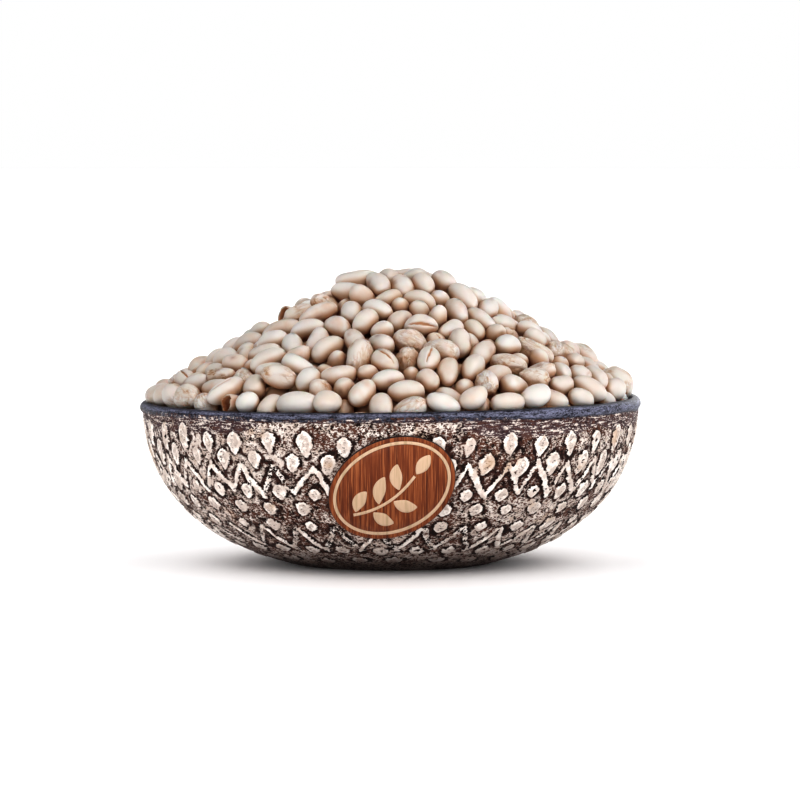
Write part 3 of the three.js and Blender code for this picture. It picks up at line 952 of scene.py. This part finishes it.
# Each kind of bean: the share of all beans up to and with this kind, and its range of sizes.
beanKinds = [
    {"upTo": 0.07, "length": (12.2, 14.2), "width": (8.2, 9.2)},
    {"upTo": 0.40, "length": (11.8, 13.8), "width": (7.2, 8.1)},
    {"upTo": 0.87, "length": (9.4, 11.8), "width": (7.1, 8.2)},
    {"upTo": 1.0, "length": (7.4, 9.0), "width": (6.4, 7.6)},
]
threeBalls = np.array([-1.0, 0.0, 1.0])  # where a bean's balls lie along it
# Beans with a place of their own, by their number, which is under 42 for those on the rim: middle,
# direction of the long axis, length, width and skin.
placedBeans = {
    0: ((74.8, -7.0, 60.6), (0.82, -0.45, -0.36), 12.8, 10.4, "wrinkled"),
    21: ((-76.2, -10.0, 56.4), (0.80, -0.55, 0.1), 12.8, 8.8, "wrinkled"),
    26: ((-51.2, -56.6, 56.2), (-0.84, -0.52, 0.12), 11.0, 6.8, "broken"),
    29: ((-30.0, -69.2, 57.0), (0.9, -0.42, 0.05), 14.2, 8.4, "smooth"),
    50: ((46.8, -29.0, 71.4), (0.9, -0.2, -0.4), 14.4, 9.0, "wrinkled"),
    51: ((57.7, -11.8, 69.4), (0.75, 0.1, -0.6), 13.0, 8.6, "wrinkled"),
    52: ((38.4, -45.8, 68.1), (0.92, -0.3, -0.25), 13.4, 7.6, "wrinkled"),
    53: ((-29.5, -50.5, 67.4), (0.75, -0.2, -0.45), 13.4, 7.6, "split"),
    54: ((6.5, -44.9, 75.5), (0.85, -0.3, -0.4), 12.2, 9.0, "wrinkled"),
    55: ((-12.0, -5.0, 94.4), (0.97, 0.0, 0.2), 12.8, 7.4, "smooth"),
    56: ((-13.4, -11.4, 90.4), (0.95, -0.1, -0.2), 13.6, 7.6, "smooth"),
    57: ((8.0, -3.0, 94.6), (0.9, 0.1, 0.25), 10.4, 7.4, "smooth"),
    58: ((-21.7, -12.0, 86.2), (0.8, 0.1, -0.5), 11.0, 8.0, "wrinkled"),
    59: ((-29.6, -12.0, 83.0), (0.9, 0.0, 0.3), 12.5, 8.0, "wrinkled"),
    60: ((-36.0, -56.5, 65.0), (0.85, -0.2, -0.2), 12.0, 8.0, "wrinkled"),
    61: ((16.6, -50.0, 73.0), (0.85, -0.3, -0.2), 12.4, 8.0, "wrinkled"),
    62: ((-34.4, 1.0, 82.0), (-0.7, -0.65, 0.3), 9.6, 7.2, "broken"),
}


def heapTop(x, y):
    reach = np.hypot(x - heapShape["crownShiftX"], y)
    rounding = heapShape["crownRounding"]
    flank = heapShape["slope"] * (math.hypot(innerRadius, rounding) - np.hypot(reach, rounding))
    return bowlShape["height"] + heapShape["edgeRise"] + flank


def heapNormal(x, y):
    dx = x - heapShape["crownShiftX"]
    far = np.sqrt(dx * dx + y * y + heapShape["crownRounding"] ** 2)
    normal = np.stack([heapShape["slope"] * dx / far, heapShape["slope"] * y / far, np.ones_like(x)], -1)
    return normal / np.linalg.norm(normal, axis=-1, keepdims=True)


def drawSizes(rng, draw, key):
    sizes = [rng.uniform(*kind[key], len(draw)) for kind in beanKinds]
    return np.select([draw < kind["upTo"] for kind in beanKinds], sizes)


def beanSizes(rng, count):
    draw = rng.random(count)
    length = drawSizes(rng, draw, "length")
    width = drawSizes(rng, draw, "width")
    rimCount = beanSettings["rimCount"]
    length[:rimCount] = np.minimum(length[:rimCount], beanSettings["rimLength"])
    for number, (middle, direction, long, wide, skin) in placedBeans.items():
        length[number], width[number] = long, wide
    return length, np.minimum(width, length * 0.9)


def nearPairs(points, owner, reach):
    flat = points.astype(np.float32)
    square = (flat * flat).sum(1)
    apart = square[:, None] + square[None] - 2 * flat @ flat.T
    first, second = np.nonzero(apart < reach * reach)
    keep = (first < second) & (owner[first] != owner[second])
    return first[keep], second[keep]


def pushApart(points, radius, first, second, share):
    gap = points[second] - points[first]
    distance = np.sqrt((gap * gap).sum(1)) + 1e-9
    overlap = radius[first] + radius[second] - distance
    touch = overlap > 0
    first, second = first[touch], second[touch]
    push = gap[touch] * (overlap[touch] / distance[touch] * share)[:, None]
    for axis in range(3):
        points[:, axis] += np.bincount(second, push[:, axis], len(points))
        points[:, axis] -= np.bincount(first, push[:, axis], len(points))


def keepInBowl(points, radius, ceiling):
    # out of the core below, under the heap's outline, and inside the wall and the bead
    top = heapTop(points[:, 0], points[:, 1])
    normal = heapNormal(points[:, 0], points[:, 1])
    height = (points[:, 2] - top) * normal[:, 2]
    low = np.maximum(radius - beanSettings["shellDepth"] - height, 0)
    high = np.maximum(height + radius - ceiling, 0) * 0.5
    points += normal * (low - high)[:, None]
    points[:, 2] = np.minimum(points[:, 2], heapShape["top"] - radius)
    reach = np.hypot(points[:, 0], points[:, 1]) + 1e-9
    limit = np.where(points[:, 2] < beadCentre[1], innerRadius - 0.3 - radius,
                     innerRadius - 0.2 - radius * 0.6)
    out = reach > limit
    points[out, :2] *= (limit[out] / reach[out])[:, None]
    reach = np.hypot(points[:, 0], points[:, 1]) + 1e-9
    outward, upward = reach - beadCentre[0], points[:, 2] - beadCentre[1]
    distance = np.hypot(outward, upward) + 1e-9
    need = bowlShape["beadRadius"] + radius + 0.1
    hit = (distance < need) & (upward >= 0)
    grow = need[hit] / distance[hit]
    points[hit, :2] *= ((beadCentre[0] + outward[hit] * grow) / reach[hit])[:, None]
    points[hit, 2] = beadCentre[1] + upward[hit] * grow


def holdPlaced(centre, axis):
    for number, (middle, direction, long, wide, skin) in placedBeans.items():
        centre[number] = middle
        axis[number] = np.array(direction) / np.linalg.norm(direction)


def withoutPart(vectors, direction, share):
    # takes a share of what the vectors have in a direction out of them
    return vectors - direction * (vectors * direction).sum(-1, keepdims=True) * share


def levelOf(normal):
    # the level part of each vector
    return np.stack([normal[:, 0], normal[:, 1], np.zeros(len(normal))], -1)


def scatterBeans(rng, count, rimCount):
    # where the beans start: all through the heap, and the first ones along the rim
    far = (innerRadius - 4) * np.sqrt(rng.random(count))
    turn = rng.random(count) * 2 * np.pi
    depth = rng.uniform(-20, beanSettings["shellDepth"] - 4, count)
    far[:rimCount] = innerRadius - beanSettings["rimGap"]
    turn[:rimCount] = 2 * np.pi * (np.arange(rimCount) + rng.uniform(-0.3, 0.3, rimCount)) / rimCount
    depth[:rimCount] = rng.uniform(-2.0, 1.0, rimCount)
    x, y = far * np.cos(turn), far * np.sin(turn)
    normal = heapNormal(x, y)
    centre = np.stack([x, y, heapTop(x, y)], -1) - normal * depth[:, None]
    axis = withoutPart(rng.normal(size=(count, 3)), normal, beanSettings["startFlat"])
    downhill = levelOf(normal)
    downhill /= np.linalg.norm(downhill, axis=-1, keepdims=True) + 1e-9
    axis = withoutPart(axis, downhill, beanSettings["startAcross"])
    axis /= np.linalg.norm(axis, axis=-1, keepdims=True)
    axis[:rimCount] = withoutPart(axis[:rimCount], levelOf(normal[:rimCount]), 2.0)
    axis[:rimCount, 2] *= 0.4
    axis[:rimCount] /= np.linalg.norm(axis[:rimCount], axis=-1, keepdims=True)
    return centre, axis


def settleBeans(rng):
    # each bean is three balls in a row; they fall against the core until they lie packed
    settings = beanSettings
    count, rimCount, steps = settings["count"], settings["rimCount"], settings["steps"]
    length, width = beanSizes(rng, count)
    reach = (length - width) / 2
    radius = np.repeat(width / 2, 3) * np.tile([0.97, 1.0, 0.97], count)
    owner = np.repeat(np.arange(count), 3)
    centre, axis = scatterBeans(rng, count, rimCount)
    rimRest = bowlShape["height"] + rng.uniform(*settings["rimRest"], rimCount)
    rimLie = settings["rimLie"] * np.minimum(rng.uniform(0, 2.0, rimCount), 1.0)
    ceiling = np.repeat(heapShape["ceiling"] + rng.uniform(*settings["unevenness"], count), 3)
    for step in range(steps):
        normal = heapNormal(centre[:, 0], centre[:, 1])
        fall = settings["fall"] * (1 - 0.75 * step / steps)
        centre = centre - normal * fall
        fromAxis = np.hypot(centre[:rimCount, 0], centre[:rimCount, 1])
        centre[:rimCount, :2] *= (1 + 0.6 * fall / fromAxis)[:, None]
        centre[:rimCount, 2] = np.maximum(centre[:rimCount, 2], rimRest)
        for again in range(settings["passes"]):
            balls = centre[:, None] + axis[:, None] * (reach[:, None] * threeBalls)[..., None]
            balls = balls.reshape(-1, 3)
            if step % settings["pairEvery"] == 0 and again == 0:
                first, second = nearPairs(balls, owner, settings["nearEnough"])
            pushApart(balls, radius, first, second, settings["push"])
            keepInBowl(balls, radius, ceiling)
            balls = balls.reshape(count, 3, 3)
            centre = balls.mean(1)
            axis = balls[:, 2] - balls[:, 0]
            axis /= np.linalg.norm(axis, axis=-1, keepdims=True) + 1e-9
            axis = withoutPart(axis, normal, settings["lieFlat"])
            outward = centre[:rimCount] / np.hypot(centre[:rimCount, 0], centre[:rimCount, 1])[:, None]
            outward[:, 2] = 0
            axis[:rimCount] -= outward * ((axis[:rimCount] * outward).sum(-1) * rimLie)[:, None]
            axis[:rimCount, 2] *= 1 - rimLie
            holdPlaced(centre, axis)
    return centre, axis, length, width


beanCentre, beanAxis, beanLength, beanWidth = settleBeans(np.random.default_rng(beanSettings["seed"]))
print("beans are settled")


def ovalGrid(around, along):
    # unit shape with its long axis on X: share along the axis and angle round it for each point
    stops = np.pi * np.arange(1, along) / along
    turns = 2 * np.pi * np.arange(around) / around
    lengthwise = np.concatenate([[-1.0], np.repeat(-np.cos(stops), around), [1.0]])
    girth = np.concatenate([[0.0], np.repeat(np.sin(stops), around), [0.0]])
    angle = np.concatenate([[0.0], np.tile(turns, along - 1), [0.0]])
    rings = [1 + np.arange(around) + k * around for k in range(along - 1)]
    quads = np.concatenate([ringFaces(a, b) for a, b in zip(rings, rings[1:])])[:, ::-1]
    last = 1 + around * (along - 1)
    caps = np.concatenate([
        np.stack([rings[0], np.roll(rings[0], -1), np.zeros(around, int)], 1),
        np.stack([np.roll(rings[-1], -1), rings[-1], np.full(around, last)], 1)])
    return lengthwise, girth, angle, quads, caps


def fieldFor(rng, points, size, waves):
    # like waveNoise, with its own waves for each bean; points is (beans, vertices, 3)
    count = len(points)
    direction = rng.normal(size=(count, waves, 3))
    direction /= np.linalg.norm(direction, axis=-1, keepdims=True)
    pitch = 2 * np.pi / size * rng.uniform(0.6, 1.4, (count, waves))
    phase = rng.uniform(0, 2 * np.pi, (count, waves))
    total = np.zeros(points.shape[:2])
    for k in range(waves):
        along = np.einsum("bvi,bi->bv", points, direction[:, k])
        total += np.sin(along * pitch[:, k, None] + phase[:, k, None])
    return total / math.sqrt(waves) / 1.5


def depthUnder(points):
    # how deep a place lies under the heap's mean surface
    x, y = points[..., 0], points[..., 1]
    return (heapTop(x, y) - points[..., 2]) * heapNormal(x, y)[..., 2]


def paintedGapShading(points, outward, members):
    # how much of each spot's outlook the neighbouring beans take up: 0 in the open, 2 and more in a gap; the
    # skin is painted darker with it, as painted shade between beans
    taken = np.zeros(points.shape[:2])
    reach = ((beanLength - beanWidth) / 2)[:, None, None]
    balls = beanCentre[:, None] + beanAxis[:, None] * reach * threeBalls[None, :, None]
    for row, bean in enumerate(members):
        near = np.nonzero(((beanCentre - beanCentre[bean]) ** 2).sum(1) < 15.0 ** 2)[0]
        near = near[near != bean]
        gap = balls[near].reshape(-1, 3)[None] - points[row][:, None]
        distance = np.sqrt((gap * gap).sum(-1)) + 1e-6
        size = np.repeat(beanWidth[near] / 2, 3)
        facing = np.einsum("vbk,vk->vb", gap, outward[row]) / distance
        taken[row] = (np.clip(0.3 + 0.7 * facing, 0, 1) * (size / np.maximum(distance, size)) ** 2).sum(1)
    return taken


def beanBody(rng, members, u, g, a):
    # smooth kidney to egg shapes: points, outward directions and the eye's place
    count = len(members)
    length, width = beanLength[members][:, None], beanWidth[members][:, None]
    slender = smoothStep(1.25, 1.7, length / width)
    egg = rng.uniform(-0.15, 0.15, (count, 1)) * (1 - 0.5 * slender)
    bend = rng.uniform(0.01, 0.10, (count, 1)) * length * (0.4 + 0.6 * slender)
    flat = rng.uniform(0.92, 1.0, (count, 1))
    dent = rng.uniform(-0.02, 0.11, (count, 1))
    blunt = 0.94 - 0.22 * slender * rng.random((count, 1))
    eye = np.exp(-(np.minimum(a, 2 * np.pi - a) / 0.7) ** 2) * np.exp(-(u / 0.5) ** 2)
    section = g ** blunt * (1 + egg * u) * (1 - dent * eye)
    points = np.stack([
        length / 2 * u * np.ones_like(section),
        width / 2 * section * np.cos(a) - bend * (0.35 - u * u),
        width / 2 * flat * section * np.sin(a)], axis=-1)
    away = np.stack([0.35 * u * np.ones_like(section), section * np.cos(a), section * np.sin(a)], -1)
    away /= np.linalg.norm(away, axis=-1, keepdims=True) + 1e-9
    spot = np.exp(-(np.minimum(a, 2 * np.pi - a) * 3.4) ** 2) * np.exp(-(u / 0.22) ** 2)
    return points, away, spot * smoothStep(0.02, 0.07, dent)


def wrinkleSkin(rng, points, lump):
    # puckered folds, and the creases between them
    uneven = fieldFor(rng, points, 10.0, 4) + rng.uniform(0.0, 0.6, (len(points), 1))
    folds = smoothStep(-0.25, 0.45, uneven)
    crease = fieldFor(rng, points * np.array([0.3, 1.0, 1.0]), 2.3, 6)
    creased = folds * np.clip(1 - np.abs(crease) * 3.0, 0, 1)
    return lump + folds * (0.24 * crease - 0.1) - 0.38 * creased, folds, creased


def splitSkin(rng, lump, u, a):
    # a cleft with raised lips
    count = len(lump)
    middle = np.pi / 2 + rng.uniform(-0.3, 0.3, (count, 1)) * u
    line = np.abs(a - middle)
    gape = rng.uniform(0.08, 0.26, (count, 1)) * np.clip(1 - (u / 0.92) ** 2, 0, 1) + 0.03
    cleft = smoothStep(1.0, 0.3, line / gape) * smoothStep(0.95, 0.75, np.abs(u))
    lip = np.exp(-((line - gape * 1.15) / 0.13) ** 2) * smoothStep(0.97, 0.75, np.abs(u))
    return lump - 0.9 * cleft + 0.22 * lip, cleft


def breakOff(rng, points, half, u, g, a):
    # one end has come off: the surface turns back into a hollow
    first, second = rng.uniform(0, 6, (2, len(points), 1))
    edge = 0.42 + 0.07 * np.sin(2 * a + first) + 0.05 * np.sin(5 * a + second)
    into = np.clip((u - edge) / (1 - edge), 0, 1)
    hollow = half * edge - 2.2 * np.sin(into * np.pi / 2) ** 0.8
    points[..., 0] = np.where(into > 0, hollow, points[..., 0])
    narrow = 0.86 * np.sqrt(np.clip(1 - into ** 2, 0, 1)) * np.sqrt(1 - edge ** 2) / np.maximum(g, 1e-6)
    points[..., 1:] *= np.where(into > 0, narrow, 1.0)[..., None]
    # the mark is about 1 on the broken surface and nears 2 deep in the hollow, where the skin is given
    # painted shade
    return smoothStep(0.0, 0.12, into) + smoothStep(0.15, 0.7, into)


def beanTurns(members, roll):
    # each bean's long axis and the two across it, rolled about it
    axis = beanAxis[members]
    side = np.cross(heapNormal(beanCentre[members, 0], beanCentre[members, 1]), axis)
    side /= np.linalg.norm(side, axis=-1, keepdims=True) + 1e-9
    up = np.cross(axis, side)
    c, s = np.cos(roll)[:, None], np.sin(roll)[:, None]
    return np.stack([axis, side * c + up * s, -side * s + up * c], axis=1)


def makeBeans(name, members, around, along, skin, seed):
    rng = np.random.default_rng(seed)
    lengthwise, girth, angle, quads, caps = ovalGrid(around, along)
    count = len(members)
    u, g, a = lengthwise[None], girth[None], angle[None]
    points, away, eye = beanBody(rng, members, u, g, a)
    lump = 0.13 * fieldFor(rng, points, 7.0, 5)
    folds, scarAndHollowShade, creased = np.zeros_like(lump), np.zeros_like(lump), np.zeros_like(lump)
    if skin == "wrinkled":
        lump, folds, creased = wrinkleSkin(rng, points, lump)
    if skin == "split":
        lump, scarAndHollowShade = splitSkin(rng, lump, u, a)
    points = points + away * lump[..., None]
    if skin == "broken":
        scarAndHollowShade = breakOff(rng, points, beanLength[members][:, None] / 2, u, g, a)
    roll = rng.uniform(0, 2 * np.pi, count)
    if skin == "split":
        roll = rng.uniform(-1.1, 1.1, count)  # the cleft stays on the upper side
    turns = beanTurns(members, roll)
    placed = points @ turns + beanCentre[members][:, None]
    corners = points.shape[1]
    offset = (np.arange(count) * corners)[:, None, None]
    faces = [(quads[None] + offset).reshape(-1, 4), (caps[None] + offset).reshape(-1, 3)]
    toRight = smoothStep(-20.0, 60.0, beanCentre[members, 0])  # the beans there are a little paler
    piece = buildMesh(name, placed.reshape(-1, 3), faces, {
        "tone": np.repeat(rng.random(count), corners),
        "blush": np.repeat(rng.random(count) ** 1.6 * (0.9 - 0.4 * toRight), corners),
        "folds": folds.ravel(),
        "scarAndHollowShade": scarAndHollowShade.ravel(),
        "creased": creased.ravel(),
        "eye": eye.ravel(),
        "gapShade": paintedGapShading(placed, away @ turns, members).ravel()})
    own = points + rng.uniform(-900, 900, (count, 1, 3))  # each bean's own place for its skin's pattern
    layer = piece.data.attributes.new("skinPlace", "FLOAT_VECTOR", "POINT")
    layer.data.foreach_set("vector", own.astype(np.float32).ravel())
    piece.data.materials.append(beanMaterial)
    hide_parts("soybeans")
    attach(piece, "root")
    print(name, count, "beans,", len(piece.data.polygons), "faces")
    return piece


beanLook = {
    "skin": "#ebe2d9",
    "skinPale": "#f3efeb",
    "blush": "#e4c8b3",
    "fold": "#dab891",
    "crease": "#c28c5a",
    "pit": "#94603a",
    "inside": "#c88d58",
    "eye": "#a5695a",
    "shaded": "#dfc1a5",  # these two are painted shade: they darken and warm the skin where other beans are near
    "gap": "#9c4d2a",
}


def makeBeanMaterial():
    shader = Shader("beanSkin")
    look = {key: srgb(code) for key, code in beanLook.items()}
    place = shader.add("ShaderNodeAttribute", {"attribute_name": "skinPlace"}).outputs["Vector"]
    stretched = shader.add("ShaderNodeVectorMath", {"operation": "MULTIPLY"})
    shader.feed(stretched.inputs[0], place)
    shader.feed(stretched.inputs[1], (0.35, 1.0, 1.0))
    along = stretched.outputs["Vector"]
    tone, blush = shader.attribute("tone"), shader.attribute("blush")
    folds, scarAndHollowShade = shader.attribute("folds"), shader.attribute("scarAndHollowShade")
    soft = shader.noise(place, 5.0, 2.0, 0.5)
    fine = shader.noise(place, 0.7, 3.0, 0.6)
    # thin skin puckered along the bean: ridges and tan creases
    ridge = shader.noise(along, 1.5, 2.0, 0.5, 0.4)
    crease = shader.times(shader.calc("ABSOLUTE", shader.minus(ridge, 0.5)), 2.0)
    line = shader.times(shader.ramp(crease, 0.02, 0.14, 1.0, 0.0), folds)
    pit = shader.times(shader.ramp(shader.noise(place, 1.7, 2.0, 0.5, 0.5), 0.67, 0.73), folds)
    skin = shader.mix(tone, look["skin"], look["skinPale"])
    skin = shader.mix(shader.times(blush, shader.ramp(soft, 0.25, 0.8)), skin, look["blush"])
    skin = shader.mix(shader.times(folds, 0.15), skin, look["skinPale"])
    browned = shader.ramp(shader.noise(place, 4.2, 2.0, 0.5), 0.53, 0.68)
    skin = shader.mix(shader.times(folds, shader.times(browned, 0.45)), skin, look["fold"])
    lined = shader.times(line, shader.timesPlus(browned, 0.5, 0.28))
    skin = shader.mix(lined, skin, look["crease"])
    skin = shader.mix(shader.times(shader.attribute("creased"), 0.45), skin, look["fold"])
    skin = shader.mix(shader.times(pit, shader.times(browned, 0.7)), skin, look["pit"])
    skin = shader.mix(shader.ramp(scarAndHollowShade, 0.25, 0.9, 0.0, 0.9), skin, look["inside"])
    # painted shade: deeper in a broken bean's hollow the inside turns dark brown
    skin = shader.mix(shader.ramp(scarAndHollowShade, 1.0, 1.9, 0.0, 0.85), skin, look["pit"])
    skin = shader.mix(shader.times(shader.attribute("eye"), 0.55), skin, look["eye"])
    # painted shade: the skin is tinted darker and warmer where other beans are near, as in the gaps between
    # them
    gapShade = shader.attribute("gapShade")
    skin = shader.mix(shader.ramp(gapShade, 0.5, 2.4), skin, look["shaded"], "MULTIPLY")
    skin = shader.mix(shader.ramp(gapShade, 2.0, 4.8), skin, look["gap"], "MULTIPLY")
    height = shader.minus(shader.times(fine, 0.18), shader.times(line, 0.8))
    height = shader.minus(height, pit)
    return shader.finish(Base_Color=skin, Roughness=shader.ramp(fine, 0.3, 0.7, 0.46, 0.58),
                         Normal=shader.bump(height, 0.16, 0.8), Subsurface_Weight=0.1,
                         Subsurface_Radius=(1.0, 0.4, 0.2), Subsurface_Scale=0.0016)


sortSettings = {
    "beneath": 8.0,  # beans whose middles lie deeper than this are made with few faces
    "seenTo": 5.5,  # and those less deep than this can be seen
    "slender": 1.42,
    "fat": 8.5,  # beans wider than this are wrinkled
    "wrinkled": (0.04, 0.3),  # share of the beans, and how much more on the flanks
    "split": (0.07, 0.35),  # the same, the wrinkled ones counted in
}
# Points round and along each bean of a mesh, and its skin.
beanMeshes = {
    "beansLong": (18, 17, "smooth"),
    "beansRound": (20, 16, "smooth"),
    "beansWrinkled": (36, 28, "wrinkled"),
    "beansSplit": (48, 24, "split"),
    "beansBroken": (32, 28, "broken"),
    "beansBeneath": (12, 9, "smooth"),
}


def sortBeans():
    # smooth beans everywhere, and wrinkled and split ones where they can be seen, more on the flanks
    settings = sortSettings
    rng = np.random.default_rng(beanSettings["seed"] + 1)
    depth = depthUnder(beanCentre)
    shallow = np.nonzero(depth < settings["beneath"])[0]
    across = beanCentre[shallow, 0] - heapShape["crownShiftX"]
    flank = smoothStep(25.0, 60.0, across) + 0.6 * smoothStep(35.0, 70.0, -across)
    draw = rng.random(len(shallow))
    visible = depth[shallow] < settings["seenTo"]
    few, more = settings["wrinkled"]
    wrinkled = visible & ((draw < few + more * flank) | (beanWidth[shallow] > settings["fat"]))
    few, more = settings["split"]
    split = visible & ~wrinkled & (draw < few + more * flank)
    broken = np.zeros(len(shallow), bool)
    for number, (middle, direction, long, wide, skin) in placedBeans.items():
        here = shallow == number
        wrinkled[here], split[here], broken[here] = skin == "wrinkled", skin == "split", skin == "broken"
    smooth = shallow[~wrinkled & ~split & ~broken]
    slender = beanLength[smooth] / beanWidth[smooth] > settings["slender"]
    return {
        "beansLong": smooth[slender],
        "beansRound": smooth[~slender],
        "beansWrinkled": shallow[wrinkled],
        "beansSplit": shallow[split],
        "beansBroken": shallow[broken],
        "beansBeneath": np.nonzero(depth >= settings["beneath"])[0],
    }


beanMaterial = makeBeanMaterial()
heapPieces = [makeBeans(name, members, *beanMeshes[name], seed=11 + number)
              for number, (name, members) in enumerate(sortBeans().items())]


coreShape = {
    "around": 96,
    "rings": 14,
    "below": 0.5,  # it starts this much deeper than the beans reach
    "steepness": 1.17,  # that depth measured straight down is this many times as much
    "wallFrom": 1.2,  # and where it meets the bowl, this many times
    "wallGap": 1.5,
    "floorGap": 1.0,
    "pitch": 8.0,
    "dark": "#3d1609",
    "light": "#5e2b14",
    "blotch": 6.0,
    "roughness": 0.8,
}


def makeCore():
    # the dark body of the heap, hidden under the beans; its dark colour is painted shade for the depths
    # between them
    shape = coreShape
    count, depth = shape["around"], beanSettings["shellDepth"] + shape["below"]
    drop = depth * shape["steepness"]
    angles = 2 * np.pi * np.arange(count) / count
    sections = []
    for radius, level in evenPoints(wallCurve, shape["pitch"])[0][:-1]:
        height = level + bowlShape["base"] + shape["floorGap"]
        if height < heapTop(innerRadius, 0) - depth * shape["wallFrom"]:
            inside = radius - bowlShape["wall"] - shape["wallGap"]
            sections.append((inside, np.full(count, height)))
    for radius in np.linspace(sections[-1][0], 6.0, shape["rings"]):
        sections.append((radius, heapTop(radius * np.cos(angles), radius * np.sin(angles)) - drop))
    points = [np.stack([radius * np.cos(angles), radius * np.sin(angles), level], 1)
              for radius, level in sections]
    rings = [np.arange(count) + k * count for k in range(len(sections))]
    total = count * len(sections)
    floorLevel = bowlShape["base"] + shape["floorGap"]
    points.append(np.array([[0, 0, floorLevel], [0, 0, heapTop(0.0, 0.0) - drop]]))
    faces = [ringFaces(a, b) for a, b in zip(rings, rings[1:])]
    faces.append(np.stack([np.roll(rings[0], -1), rings[0], np.full(count, total)], 1))
    faces.append(np.stack([rings[-1], np.roll(rings[-1], -1), np.full(count, total + 1)], 1))
    core = buildMesh("heapCore", np.concatenate(points), faces)
    shader = Shader("heapShade")
    blotch = shader.noise(shader.place(), shape["blotch"])
    colour = shader.mix(blotch, srgb(shape["dark"]), srgb(shape["light"]))
    core.data.materials.append(shader.finish(Base_Color=colour, Roughness=shape["roughness"]))
    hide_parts("soybeans")
    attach(core, "root")


makeCore()
print("heap is in")

addStudio(floor, bowlPieces, heapPieces)
print("light is in")
